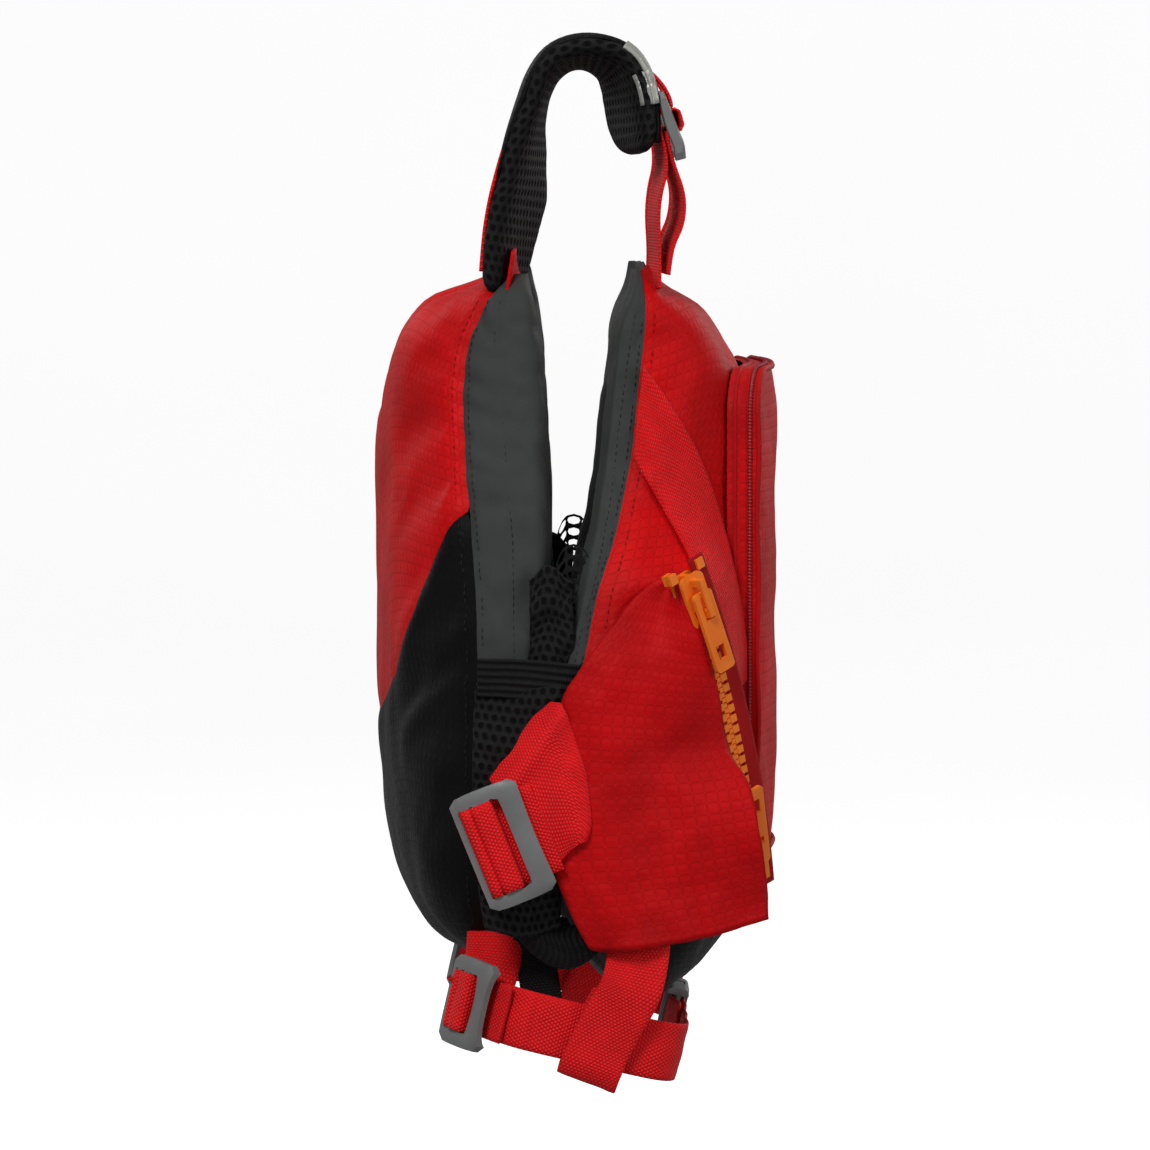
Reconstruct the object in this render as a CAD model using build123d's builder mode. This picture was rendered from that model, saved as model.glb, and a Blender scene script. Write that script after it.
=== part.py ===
"""A foam-filled buoyancy vest, hung by its shoulder straps, as separate pieces.

Frame: +Z up, -Y is the wearer's front, -X the wearer's right. The origin is the hanger seat, midway
between the two shoulder straps and level with the underside of their highest point. Millimetres.
"""

from build123d import *
import math
import os

os.makedirs("parts", exist_ok=True)

# ---- driving sizes -------------------------------------------------------------------------
FABRIC = 1.4  # a shell or lining, with its seam allowance
FOAM_GAP = 0.2  # air between a cover and its foam
WEB = 1.8  # webbing thickness

# vest heights
SHOULDER_Z = -90.0
NECK_Z = -122.0
BACK_HEM_Z = -376.0
FRONT_HEM_Z = -393.0

# the two panels in plan
BACK_OUT_MID = (0, 86)
BACK_OUT_SIDE = (104, 73)
BACK_OUT_EDGE = (140, 14)
BACK_IN_MID = (0, 46)
BACK_IN_SIDE = (80, 39)
BACK_IN_EDGE = (112, 14)
FRONT_OUT_MID = (0, -76)
FRONT_OUT_SIDE = (110, -62)
FRONT_OUT_EDGE = (146, 8)
FRONT_IN_MID = (0, -40)
FRONT_IN_SIDE = (80, -31)
FRONT_IN_EDGE = (114, 6)

# the shoulder straps, in the side view
STRAP_X = 76.0
PAD_WIDTH = 46.0
ARCH_Y = -2.5
ARCH_Z = -14.0
PAD_IN_R = 14.0
PAD_OUT_R = 24.4
COVER_R = (24.7, 26.0)
BAND_R = (26.3, 27.1)
PAD_BACK_FOOT = (36.0, -89.6)
PAD_FRONT_FOOT = -37.0
SHOULDER_WEB = 38.0

# the main zip: an arc that leans across the right front corner of the vest
ZIP_TOP = Vector(-143.7, -46, -211)
ZIP_MID = Vector(-123.5, -65, -278)
ZIP_LOW = Vector(-97, -75.5, -345)
CHAIN_ROLL = 10.0  # turns the chain's face from the arc's own plane to the vest's surface
TOOTH_PITCH = 4.8
TOOTH_THICK = 3.2
TEETH_FROM = 8.0
TEETH_TO = 139.0

# ladder locks: u runs from the fixed bar to the lever, w out of the face, from the lock's centre
BAR_U = -13.5
BAR_R = 1.5
LOCK_HALF = 15.0
LOCK_THICK = 6.0
RAIL = 3.4
MIDDLE_BAR = (-5.0, -1.0)
LEVER_U = 5.0
SIDE_WEB = 47.0
SIDE_LOCK_AT = (-158.0, 30.2, -323.3)
SHOULDER_LOCK_AT = (-STRAP_X, -40.5, -23.0)

# the waist belt lies in a plane that drops towards the front
BELT_DROP = 13.0
BELT_WEB = 25.0
BELT_CENTRE_Z = -404.0
BELT_X = 139.5
WAIST_LOCK_AT = (-122.0, 46.0)
BUCKLE_Y = -43.0
BUCKLE_HALF = 16.2

FAR = 400.0  # longer than the vest, for cutting shapes


def save(solid, name):
    """Labels one finished piece and writes it as its own file."""
    solid.label = name
    export_step(solid, f"parts/{name}.step")


def both_sides(solid, name):
    """Writes a right-hand piece and its mirror image on the wearer's left."""
    save(solid, f"{name}_right")
    save(mirror(solid, about=Plane.YZ), f"{name}_left")


# ---- panel shapes --------------------------------------------------------------------------
def flip(point):
    """The same plan point on the wearer's right."""
    return (-point[0], point[1])


def plan_curve(mid, side, edge):
    """Half the plan line of a panel face as (tangent at side) for the corner arc."""
    sag = abs(mid[1] - side[1])
    radius = (side[0] ** 2 + sag**2) / (2 * sag)
    slope = math.asin(side[0] / radius)
    bend = 1 if side[1] > mid[1] else -1
    return (math.cos(slope), bend * math.sin(slope))


def panel_plan(out_mid, out_side, out_edge, in_mid, in_side, in_edge, inset):
    """The curved slab that a panel is in plan, drawn in by inset."""
    with BuildSketch(Plane.XY.offset(-FAR - 100)) as plan:
        with BuildLine():
            ThreePointArc(flip(out_side), out_mid, out_side)
            tangent = plan_curve(out_mid, out_side, out_edge)
            TangentArc(out_side, out_edge, tangent=tangent)
            TangentArc(flip(out_side), flip(out_edge), tangent=(-tangent[0], tangent[1]))
            ThreePointArc(flip(in_side), in_mid, in_side)
            tangent = plan_curve(in_mid, in_side, in_edge)
            TangentArc(in_side, in_edge, tangent=tangent)
            TangentArc(flip(in_side), flip(in_edge), tangent=(-tangent[0], tangent[1]))
            Line(out_edge, in_edge)
            Line(flip(out_edge), flip(in_edge))
        make_face()
        if inset:
            offset(amount=-inset)
    return plan.sketch


def outline(points, neck_half, neck_z, inset):
    """A panel's front view: half an outline from hem to shoulder, mirrored, with a neck scoop."""
    with BuildSketch(Plane.XZ.offset(FAR / 2)) as front:
        with BuildLine():
            right = FilletPolyline(*points, radius=16)
            left = FilletPolyline(*[(-x, z) for x, z in points], radius=16)
            Line(left @ 0, right @ 0)
            inner_right = (neck_half, points[-1][1])
            inner_left = (-neck_half, points[-1][1])
            Line(right @ 1, inner_right)
            Line(left @ 1, inner_left)
            ThreePointArc(inner_left, (0, neck_z), inner_right)
        make_face()
        if inset:
            offset(amount=-inset)
    return front.sketch


def side_profile(points, radii, inset):
    """A panel's side view, as a polygon with rounded corners, in (Y, Z)."""
    with BuildSketch(Plane.YZ.offset(-FAR / 2)) as side:
        with BuildLine():
            FilletPolyline(*points, radius=radii, close=True)
        make_face()
        if inset:
            offset(amount=-inset)
    return side.sketch


def back_block(inset):
    """The back panel as one solid, drawn in by inset on every face."""
    points = [(70, BACK_HEM_Z), (122, BACK_HEM_Z + 14), (143, -320), (143, -240), (128, -190)]
    points += [(114, -150), (104, -116), (100, SHOULDER_Z)]
    profile = [(6, BACK_HEM_Z), (52, BACK_HEM_Z), (80, -346), (88, -290), (88, -160)]
    profile += [(80, -118), (60, -95), (41, SHOULDER_Z), (6, SHOULDER_Z)]
    plan = panel_plan(
        BACK_OUT_MID, BACK_OUT_SIDE, BACK_OUT_EDGE, BACK_IN_MID, BACK_IN_SIDE, BACK_IN_EDGE, inset
    )
    with BuildPart() as block:
        extrude(plan, amount=FAR)
        extrude(outline(points, 54, NECK_Z, inset), amount=-FAR, mode=Mode.INTERSECT)
        side = side_profile(profile, [4, 20, 24, 30, 30, 14, 10, 3, 3], inset)
        extrude(side, amount=FAR, mode=Mode.INTERSECT)
    return block.part


def front_block(inset):
    """The front panel as one solid, drawn in by inset on every face."""
    points = [(70, FRONT_HEM_Z), (124, FRONT_HEM_Z + 16), (152, -340), (152, -250), (140, -212)]
    points += [(116, -180), (105, -140), (100, SHOULDER_Z + 3)]
    profile = [(12, FRONT_HEM_Z), (-52, FRONT_HEM_Z), (-72, -370), (-80, -335), (-80, -140)]
    profile += [(-62, -108), (-52, -97), (-38, SHOULDER_Z + 3), (-18, SHOULDER_Z + 3)]
    profile += [(-11, -165), (-3, -222), (12, -268)]
    plan = panel_plan(
        FRONT_OUT_MID,
        FRONT_OUT_SIDE,
        FRONT_OUT_EDGE,
        FRONT_IN_MID,
        FRONT_IN_SIDE,
        FRONT_IN_EDGE,
        inset,
    )
    with BuildPart() as block:
        extrude(plan, amount=FAR)
        extrude(outline(points, 52, -138, inset), amount=-FAR, mode=Mode.INTERSECT)
        side = side_profile(profile, [4, 14, 18, 30, 14, 8, 8, 3, 3, 14, 14, 10], inset)
        extrude(side, amount=FAR, mode=Mode.INTERSECT)
    return block.part


def lining_zone(in_mid, in_side, in_edge, far_y, grow):
    """The space within grow of a panel's inner face, which the grey lining covers."""
    with BuildPart() as zone:
        with BuildSketch(Plane.XY.offset(-FAR - 100)):
            with BuildLine():
                ThreePointArc(flip(in_side), in_mid, in_side)
                tangent = plan_curve(in_mid, in_side, in_edge)
                TangentArc(in_side, in_edge, tangent=tangent)
                TangentArc(flip(in_side), flip(in_edge), tangent=(-tangent[0], tangent[1]))
                Line(in_edge, (in_edge[0], far_y))
                Line(flip(in_edge), (-in_edge[0], far_y))
                Line((in_edge[0], far_y), (-in_edge[0], far_y))
            make_face()
            offset(amount=grow)
        extrude(amount=FAR)
    return zone.part


def colour_split(z_mid, z_side):
    """The space under a line that runs across the panel, low at its middle and high at its sides."""
    with BuildPart() as zone:
        with BuildSketch(Plane.XZ.offset(FAR / 2)):
            with BuildLine():
                ThreePointArc((-160, z_side), (0, z_mid), (160, z_side))
                Polyline((160, z_side), (160, -FAR - 100), (-160, -FAR - 100), (-160, z_side))
            make_face()
        extrude(amount=-FAR)
    return zone.part


# ---- back panel ----------------------------------------------------------------------------
back_zone = lining_zone(BACK_IN_MID, BACK_IN_SIDE, BACK_IN_EDGE, 0, 15)
back_low_zone = colour_split(-275, -196)
back_solid = back_block(0)
back_hollow = back_block(FABRIC)

with BuildPart() as back_foam:
    add(back_block(FABRIC + FOAM_GAP))
save(back_foam.part, "back_foam")

with BuildPart() as back_lining:
    add(back_solid)
    add(back_hollow, mode=Mode.SUBTRACT)
    add(back_zone, mode=Mode.INTERSECT)
save(back_lining.part, "back_lining")

with BuildPart() as back_shell_lower:
    add(back_solid)
    add(back_hollow, mode=Mode.SUBTRACT)
    add(back_zone, mode=Mode.SUBTRACT)
    add(back_low_zone, mode=Mode.INTERSECT)
save(back_shell_lower.part, "back_shell_lower")

with BuildPart() as back_shell_upper:
    add(back_solid)
    add(back_hollow, mode=Mode.SUBTRACT)
    add(back_zone, mode=Mode.SUBTRACT)
    add(back_low_zone, mode=Mode.SUBTRACT)
save(back_shell_upper.part, "back_shell_upper")

# ---- front panel ---------------------------------------------------------------------------
front_zone = lining_zone(FRONT_IN_MID, FRONT_IN_SIDE, FRONT_IN_EDGE, 20, 12)
front_low_zone = colour_split(-352, -366)
front_solid = front_block(0)
front_hollow = front_block(FABRIC)

with BuildPart() as front_foam:
    add(front_block(FABRIC + FOAM_GAP))
save(front_foam.part, "front_foam")

with BuildPart() as front_lining:
    add(front_solid)
    add(front_hollow, mode=Mode.SUBTRACT)
    add(front_zone, mode=Mode.INTERSECT)
save(front_lining.part, "front_lining")

with BuildPart() as front_hem_panel:
    add(front_solid)
    add(front_hollow, mode=Mode.SUBTRACT)
    add(front_zone, mode=Mode.SUBTRACT)
    add(front_low_zone, mode=Mode.INTERSECT)
save(front_hem_panel.part, "front_hem_panel")

with BuildPart() as front_shell:
    add(front_solid)
    add(front_hollow, mode=Mode.SUBTRACT)
    add(front_zone, mode=Mode.SUBTRACT)
    add(front_low_zone, mode=Mode.SUBTRACT)
save(front_shell.part, "front_shell")


# ---- layers that lie on the front panel ------------------------------------------------------
def front_layer(near, far):
    """A curved sheet outside the front panel, from near to far off its face."""
    tangent = plan_curve(FRONT_OUT_MID, FRONT_OUT_SIDE, FRONT_OUT_EDGE)
    with BuildPart() as layer:
        with BuildSketch(Plane.XY.offset(-FAR - 50)) as ring:
            for grow, mode in ((far, Mode.ADD), (near, Mode.SUBTRACT)):
                with BuildSketch(Plane.XY.offset(-FAR - 50), mode=Mode.PRIVATE) as disc:
                    with BuildLine():
                        ThreePointArc(flip(FRONT_OUT_SIDE), FRONT_OUT_MID, FRONT_OUT_SIDE)
                        TangentArc(FRONT_OUT_SIDE, FRONT_OUT_EDGE, tangent=tangent)
                        TangentArc(
                            flip(FRONT_OUT_SIDE),
                            flip(FRONT_OUT_EDGE),
                            tangent=(-tangent[0], tangent[1]),
                        )
                        Line(FRONT_OUT_EDGE, flip(FRONT_OUT_EDGE))
                    make_face()
                    offset(amount=grow)
                add(disc.sketch, mode=mode)
        extrude(amount=FAR)
        with Locations((0, 100 + FRONT_OUT_EDGE[1], -FAR / 2)):
            Box(FAR, 200, 2 * FAR, mode=Mode.SUBTRACT)
    return layer.part


def front_skin(near, far):
    """A layer that wraps the whole front panel, from near to far off every face."""
    with BuildPart() as skin:
        add(front_block(-far))
        add(front_block(-near), mode=Mode.SUBTRACT)
    return skin.part


def side_window(points, x_from=-FAR / 2, x_to=0.0):
    """A polygon drawn in the side view, carried across the wearer's right half."""
    with BuildPart() as window:
        with BuildSketch(Plane.YZ.offset(x_from)):
            with BuildLine():
                Polyline(*points, close=True)
            make_face()
        extrude(amount=x_to - x_from)
    return window.part


# the arc of the main zip, and the frame that it lies in
zip_arc = Edge.make_three_point_arc(ZIP_TOP, ZIP_MID, ZIP_LOW)
zip_centre = zip_arc.arc_center
zip_radius = zip_arc.radius
zip_out = (ZIP_MID - zip_centre).normalized()
zip_along = (ZIP_LOW - ZIP_TOP).normalized()
zip_across = zip_out.cross(zip_along).normalized()
zip_sweep = zip_arc.length / zip_radius
print("zip arc", tuple(zip_centre), zip_radius, tuple(zip_across), zip_arc.length)


def zip_plane(arc_mm):
    """The frame of the chain at arc_mm below its top: x across, y out of the vest, z down it."""
    degrees = math.degrees(arc_mm / zip_radius - zip_sweep / 2)
    out = zip_out.rotate(Axis((0, 0, 0), tuple(zip_across)), degrees)
    along = zip_across.cross(out)
    roll = Axis((0, 0, 0), tuple(along))
    return Plane(
        origin=zip_centre + out * zip_radius,
        x_dir=zip_across.rotate(roll, CHAIN_ROLL),
        z_dir=along,
    )


zip_middle = Plane(origin=ZIP_MID, x_dir=zip_along, z_dir=zip_across)

with BuildPart() as side_wing:
    add(front_skin(1.6, 3.4))
    wing_points = [(-46, -212), (-30, -217), (-15, -234), (-2, -252), (6, -264), (7, -280)]
    wing_points += [(4.6, -287), (-13.2, -332), (-12, -345), (-6, -366), (-12, -368)]
    wing_points += [(-40, -362), (-90, -352), (-90, -212)]
    add(side_window(wing_points), mode=Mode.INTERSECT)
    with BuildSketch(zip_middle.offset(-12.6)):
        Rectangle(FAR, FAR)
    extrude(amount=FAR, mode=Mode.SUBTRACT)
    add(front_zone, mode=Mode.SUBTRACT)
both_sides(side_wing.part, "side_wing")

with BuildPart() as harness_tape:
    add(front_skin(0.2, 1.3))
    tape_points = [(-25, -162), (-48, -205), (-66, -259), (-72, -250), (-60, -180), (-31.5, -126)]
    add(side_window(tape_points, x_to=-96), mode=Mode.INTERSECT)
both_sides(harness_tape.part, "harness_tape")

# ---- pocket --------------------------------------------------------------------------------
POCKET_HALF = 84.0
POCKET_TOP = -121.0
POCKET_LOW = -334.0
POCKET_DEPTH = 13.0


def pocket_window(grow):
    """The pocket's front view, grown by grow, carried through the vest's front."""
    mid = (POCKET_TOP + POCKET_LOW) / 2
    with BuildPart() as window:
        with BuildSketch(Plane.XZ) as front:
            with Locations((0, mid)):
                Rectangle(2 * (POCKET_HALF + grow), POCKET_TOP - POCKET_LOW + 2 * grow)
            fillet(front.vertices(), 18 + grow)
        extrude(amount=FAR / 2)
    return window.part


# the zip's slit runs up one side of the gusset, across its top and down the other side
with BuildPart() as slit:
    add(front_layer(4.6, 8.4))
    with Locations((0, 0, POCKET_LOW)):
        Box(FAR, FAR, 60, mode=Mode.SUBTRACT)
pocket_slit = slit.part

with BuildPart() as pocket_gusset:
    add(front_layer(0.3, POCKET_DEPTH - 1.6))
    add(pocket_window(0), mode=Mode.INTERSECT)
    add(pocket_window(-FABRIC), mode=Mode.SUBTRACT)
    add(pocket_slit, mode=Mode.SUBTRACT)
save(pocket_gusset.part, "pocket_gusset")

with BuildPart() as pocket_face:
    add(front_layer(POCKET_DEPTH - 1.4, POCKET_DEPTH))
    add(pocket_window(0), mode=Mode.INTERSECT)
save(pocket_face.part, "pocket_face")

with BuildPart() as pocket_zip:
    add(front_layer(4.5, 8.5))
    add(pocket_window(1.4), mode=Mode.INTERSECT)
    add(pocket_window(0.2), mode=Mode.SUBTRACT)
    with Locations((0, 0, POCKET_LOW)):
        Box(FAR, FAR, 60, mode=Mode.SUBTRACT)
save(pocket_zip.part, "pocket_zip")

# the pocket's slider is parked at the foot of the left gusset
POCKET_SLIDER_Z = POCKET_LOW + 44
slider_y = -73.5
with BuildPart() as pocket_slider:
    with Locations((POCKET_HALF + 3.6, slider_y, POCKET_SLIDER_Z)):
        Box(3.0, 7.0, 10.0)
    fillet(pocket_slider.edges().filter_by(Axis.X), 2.0)
    with Locations((POCKET_HALF + 6.6, slider_y, POCKET_SLIDER_Z + 0.5)):
        Box(3.4, 1.8, 8.2)
    with Locations((POCKET_HALF + 6.1, slider_y, POCKET_SLIDER_Z + 0.5)):
        Box(2.0, 3.0, 5.4, mode=Mode.SUBTRACT)
save(pocket_slider.part, "pocket_slider")

with BuildPart() as pocket_pull:
    with BuildSketch(Plane.YZ.offset(POCKET_HALF + 5.5)) as tab:
        with Locations((slider_y, POCKET_SLIDER_Z - 7.3)):
            Rectangle(5.4, 19.4)
        fillet(tab.vertices(), 1.5)
        with Locations((slider_y, POCKET_SLIDER_Z - 3.0)):
            Rectangle(2.8, 7.8, mode=Mode.SUBTRACT)
    extrude(amount=1.2)
save(pocket_pull.part, "pocket_pull")


# ---- shoulder straps -------------------------------------------------------------------------
def arch_band(inner, outer):
    """The side view of one layer of a shoulder strap, between two radii of its arch."""
    foot = Vector(PAD_BACK_FOOT[0] - ARCH_Y, PAD_BACK_FOOT[1] - ARCH_Z)
    mean = (PAD_IN_R + COVER_R[1]) / 2
    lean = math.degrees(math.atan2(foot.Y, foot.X) + math.acos(mean / foot.length))
    down = Vector(math.sin(math.radians(lean)), -math.cos(math.radians(lean)))
    with BuildSketch(Plane.YZ.offset(-STRAP_X - PAD_WIDTH / 2), mode=Mode.PRIVATE) as band:
        for radius, mode in ((outer, Mode.ADD), (inner, Mode.SUBTRACT)):
            with BuildLine(mode=Mode.PRIVATE) as edge:
                arc = CenterArc((ARCH_Y, ARCH_Z), radius, lean, 180 - lean)
                low = (arc @ 0) + down * 110
                Polyline(
                    arc @ 0,
                    low,
                    (ARCH_Y, low.Y),
                    (ARCH_Y, PAD_FRONT_FOOT),
                    (ARCH_Y - radius, PAD_FRONT_FOOT),
                    arc @ 1,
                )
            make_face(edge.edges(), mode=mode)
        with Locations((0, PAD_BACK_FOOT[1] - 60)):
            Rectangle(200, 120, mode=Mode.SUBTRACT)
    return band.sketch


with BuildPart() as shoulder_pad:
    extrude(arch_band(PAD_IN_R, PAD_OUT_R), amount=PAD_WIDTH)
both_sides(shoulder_pad.part, "shoulder_pad")

with BuildPart() as shoulder_cover:
    extrude(arch_band(*COVER_R), amount=PAD_WIDTH)
both_sides(shoulder_cover.part, "shoulder_cover")

with BuildPart() as reflective_band:
    with BuildSketch(Plane.YZ.offset(-STRAP_X - PAD_WIDTH / 2)):
        with Locations((ARCH_Y, ARCH_Z)):
            Circle(BAND_R[1])
            Circle(BAND_R[0], mode=Mode.SUBTRACT)
        with BuildLine():
            far = [(ARCH_Y + 60 * math.cos(math.radians(a)), ARCH_Z + 60 * math.sin(math.radians(a)))
                   for a in (125, 158)]
            Polyline((ARCH_Y, ARCH_Z), *far, close=True)
        make_face(mode=Mode.INTERSECT)
    extrude(amount=PAD_WIDTH)
both_sides(reflective_band.part, "reflective_band")


# ---- ladder locks and their webbing ----------------------------------------------------------
def ladder_lock(plane, web):
    """A three-bar ladder lock in a plane with x = u, y across the strap and z = w."""
    half = web / 2 + 0.8
    with BuildPart() as lock:
        with BuildSketch(Plane.XY.offset(-LOCK_THICK / 2)) as frame:
            Rectangle(2 * LOCK_HALF, 2 * (half + RAIL))
            fillet(frame.vertices(), 3.5)
        extrude(amount=LOCK_THICK)
        with Locations(((LEVER_U - LOCK_HALF) / 2 - 1, 0, 0)):
            Box(LOCK_HALF + LEVER_U + 2, 2 * half, 3 * LOCK_THICK, mode=Mode.SUBTRACT)
        with Locations((BAR_U, 0, 0)):
            Cylinder(BAR_R, 2 * half + 1, rotation=(90, 0, 0))
        with Locations(((MIDDLE_BAR[0] + MIDDLE_BAR[1]) / 2, 0, -0.25)):
            Box(MIDDLE_BAR[1] - MIDDLE_BAR[0], 2 * half + 1, 3.5)
        with Locations((LEVER_U + 3, 0, LOCK_THICK / 2)):
            Box(3.0, 2 * half - 2, 1.2, mode=Mode.SUBTRACT)
    return plane.location * lock.part


def in_lock(plane, points):
    """Lock points (u, w) as vectors of the whole vest."""
    return [plane.from_local_coords((u, 0, w)) for u, w in points]


def ribbon(plane, paths, width):
    """Webbing of a given width, from paths of points in the plane, each with its corner radius."""
    with BuildPart() as strap:
        with BuildSketch(plane.offset(-width / 2)):
            for points, radius in paths:
                with BuildLine(mode=Mode.PRIVATE) as path:
                    FilletPolyline(*points, radius=radius) if len(points) > 2 else Line(*points)
                trace(path.edges(), line_width=WEB)
        extrude(amount=width)
    return strap.part


def lock_section(lock_plane):
    """The plane through a lock in which its webbing is drawn: x = u, y = w."""
    return Plane(origin=lock_plane.origin, x_dir=lock_plane.x_dir, z_dir=-lock_plane.y_dir)


def anchor(lock_plane, web, under, over):
    """Webbing sewn round the fixed bar of a lock, with the tail points of its two plies."""
    with BuildPart() as strap:
        with BuildSketch(lock_section(lock_plane).offset(-web / 2)):
            with BuildLine(mode=Mode.PRIVATE) as turn:
                CenterArc((BAR_U, 0), 2.8, -90, 180)
            trace(turn.edges(), line_width=WEB)
            for points in (under, over):
                with BuildLine(mode=Mode.PRIVATE) as tail:
                    Polyline(*points)
                trace(tail.edges(), line_width=WEB)
        extrude(amount=web)
    return strap.part


THREADING = [(1.3, -4.2), (1.3, 3.2), (-7.3, 3.2), (-7.3, -6.6)]

shoulder_lock_plane = Plane(
    origin=SHOULDER_LOCK_AT, x_dir=(0, -0.26, -0.966), z_dir=(0, -0.966, 0.26)
)
both_sides(ladder_lock(shoulder_lock_plane, SHOULDER_WEB), "shoulder_lock")
shoulder_under = [(BAR_U, -2.8), (-20, -2.8), (-26, -6.4)]
shoulder_over = [(BAR_U, 2.8), (-20, -0.4), (-24.6, -3.1)]
both_sides(
    anchor(shoulder_lock_plane, SHOULDER_WEB, shoulder_under, shoulder_over), "shoulder_anchor"
)


def shoulder_point(u, w):
    """A shoulder lock's point (u, w) as (Y, Z)."""
    at = shoulder_lock_plane.from_local_coords((u, 0, w))
    return (at.Y, at.Z)


shoulder_run = [(-34.5, -86.5), (-33.2, -55), shoulder_point(12, -6.6), shoulder_point(-7.3, -6.6)]
shoulder_run += [shoulder_point(-7.3, 3.2), shoulder_point(1.3, 3.2), shoulder_point(1.3, -4.2)]
shoulder_run += [shoulder_point(16, -4.2), (-43.5, -60), (-39, -72), (-37.6, -84)]
run_radii = [12, 12, 1.6, 1.6, 1.6, 1.6, 4, 6, 6]
with BuildPart() as shoulder_webbing:
    add(
        ribbon(
            Plane.YZ.offset(-STRAP_X),
            [(shoulder_run, run_radii)],
            SHOULDER_WEB,
        )
    )
both_sides(shoulder_webbing.part, "shoulder_webbing")

side_lock_plane = Plane(origin=SIDE_LOCK_AT, x_dir=(0, -0.926, 0.378), z_dir=(-1, 0, 0))
both_sides(ladder_lock(side_lock_plane, SIDE_WEB), "side_lock")
side_under = [(BAR_U, -2.8), (-16.6, -2.8), (-17.4, -20.4)]
side_over = [(BAR_U, 2.8), (-18.9, 2.0), (-19.5, -19.4)]
both_sides(anchor(side_lock_plane, SIDE_WEB, side_under, side_over), "side_anchor")
side_run = [(17, -4.2), *THREADING, (36, -6.6)]
with BuildPart() as side_webbing:
    add(ribbon(lock_section(side_lock_plane), [(side_run, 1.6)], SIDE_WEB))
both_sides(side_webbing.part, "side_webbing")

# ---- side mesh between the panels --------------------------------------------------------------
with BuildPart() as side_mesh:
    with BuildSketch(Plane.YZ.offset(-143)):
        with BuildLine():
            FilletPolyline(
                (36, -290), (10, -275), (10, -372), (35, -372), radius=3, close=True
            )
        make_face()
    extrude(amount=0.9)
both_sides(side_mesh.part, "side_mesh")

with BuildPart() as waist_elastic:
    with BuildSketch(Plane.YZ.offset(-141.6)):
        with BuildLine():
            FilletPolyline((9.6, -260), (9.6, -274), (36, -289), (36, -272), radius=2, close=True)
        make_face()
    extrude(amount=-2.0)
both_sides(waist_elastic.part, "waist_elastic")

# ---- waist belt and its buckle ---------------------------------------------------------------
drop = math.radians(BELT_DROP)
belt_plane = Plane(
    origin=(0, 0, BELT_CENTRE_Z), x_dir=(1, 0, 0), z_dir=(0, -math.sin(drop), math.cos(drop))
)


def on_belt(x, y, z=0.0):
    """A point of the belt's plane as a vector of the vest."""
    return belt_plane.from_local_coords((x, y, z))


lock_u = (-0.8, -0.6)
lock_n = (-0.6, 0.8)
waist_lock_plane = Plane(
    origin=on_belt(*WAIST_LOCK_AT),
    x_dir=on_belt(*lock_u) - on_belt(0, 0),
    z_dir=on_belt(*lock_n) - on_belt(0, 0),
)


def waist_point(u, w):
    """A waist lock's point (u, w) in the belt's plane."""
    return (
        WAIST_LOCK_AT[0] + u * lock_u[0] + w * lock_n[0],
        WAIST_LOCK_AT[1] + u * lock_u[1] + w * lock_n[1],
    )


both_sides(ladder_lock(waist_lock_plane, BELT_WEB), "waist_lock")
waist_under = [(BAR_U, -2.8), (-34, -2.8)]
waist_over = [(BAR_U, 2.8), (-23, -0.7), (-34, -0.7)]
with BuildPart() as waist_tab:
    add(anchor(waist_lock_plane, BELT_WEB, waist_under, waist_over))
    with BuildSketch(lock_section(waist_lock_plane).offset(-18)):
        with Locations((-31, -1.8)):
            Rectangle(6, 3.8)
    extrude(amount=18)
both_sides(waist_tab.part, "waist_tab")


def waist_belt(bar_x):
    """The right belt from its ladder lock to a loop round the buckle bar at bar_x."""
    front = BUCKLE_Y - 2.9
    back = BUCKLE_Y + 2.9
    lead = [waist_point(u, w) for u, w in [(20, -4.2), *THREADING, (24, -6.6)]]
    lead += [(-BELT_X, 12), (-BELT_X, front), (bar_x, front)]
    tail = [(bar_x, back), (bar_x - 8, back), (bar_x - 15, front + 2.1), (bar_x - 34, front + 2.1)]
    with BuildPart() as belt:
        with BuildSketch(belt_plane.offset(-BELT_WEB / 2)):
            with BuildLine(mode=Mode.PRIVATE) as path:
                FilletPolyline(*lead, radius=[1.6, 1.6, 1.6, 1.6, 6, 6, 16])
            trace(path.edges(), line_width=WEB)
            with BuildLine(mode=Mode.PRIVATE) as turn:
                CenterArc((bar_x, BUCKLE_Y), 2.9, -90, 180)
            trace(turn.edges(), line_width=WEB)
            with BuildLine(mode=Mode.PRIVATE) as end:
                FilletPolyline(*tail, radius=2)
            trace(end.edges(), line_width=WEB)
        extrude(amount=BELT_WEB)
    return belt.part


PLUG_BAR_X = -20.0
SOCKET_BAR_X = 24.5
save(waist_belt(PLUG_BAR_X), "waist_belt_right")
save(mirror(waist_belt(-SOCKET_BAR_X), about=Plane.YZ), "waist_belt_left")

with BuildPart() as keeper_loop:
    with BuildSketch(Plane.XZ.offset(18 - 12.5)):
        with BuildLine(mode=Mode.PRIVATE) as path:
            FilletPolyline(
                (-151.3, -369),
                (-143.3, -386),
                (-143.3, -428.5),
                (-135.7, -428.5),
                (-135.7, -392),
                (-141.2, -385.5),
                (-145.0, -377),
                radius=[6, 3, 3, 4, 4],
            )
        trace(path.edges(), line_width=WEB)
    extrude(amount=25)
both_sides(keeper_loop.part, "keeper_loop")


def buckle_box(x_from, x_to, half_y, half_z, mode=Mode.ADD, z_mid=0.0):
    """A box of the buckle in the belt's own frame."""
    with Locations(((x_from + x_to) / 2, BUCKLE_Y, z_mid)):
        Box(x_to - x_from, 2 * half_y, 2 * half_z, mode=mode)


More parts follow.
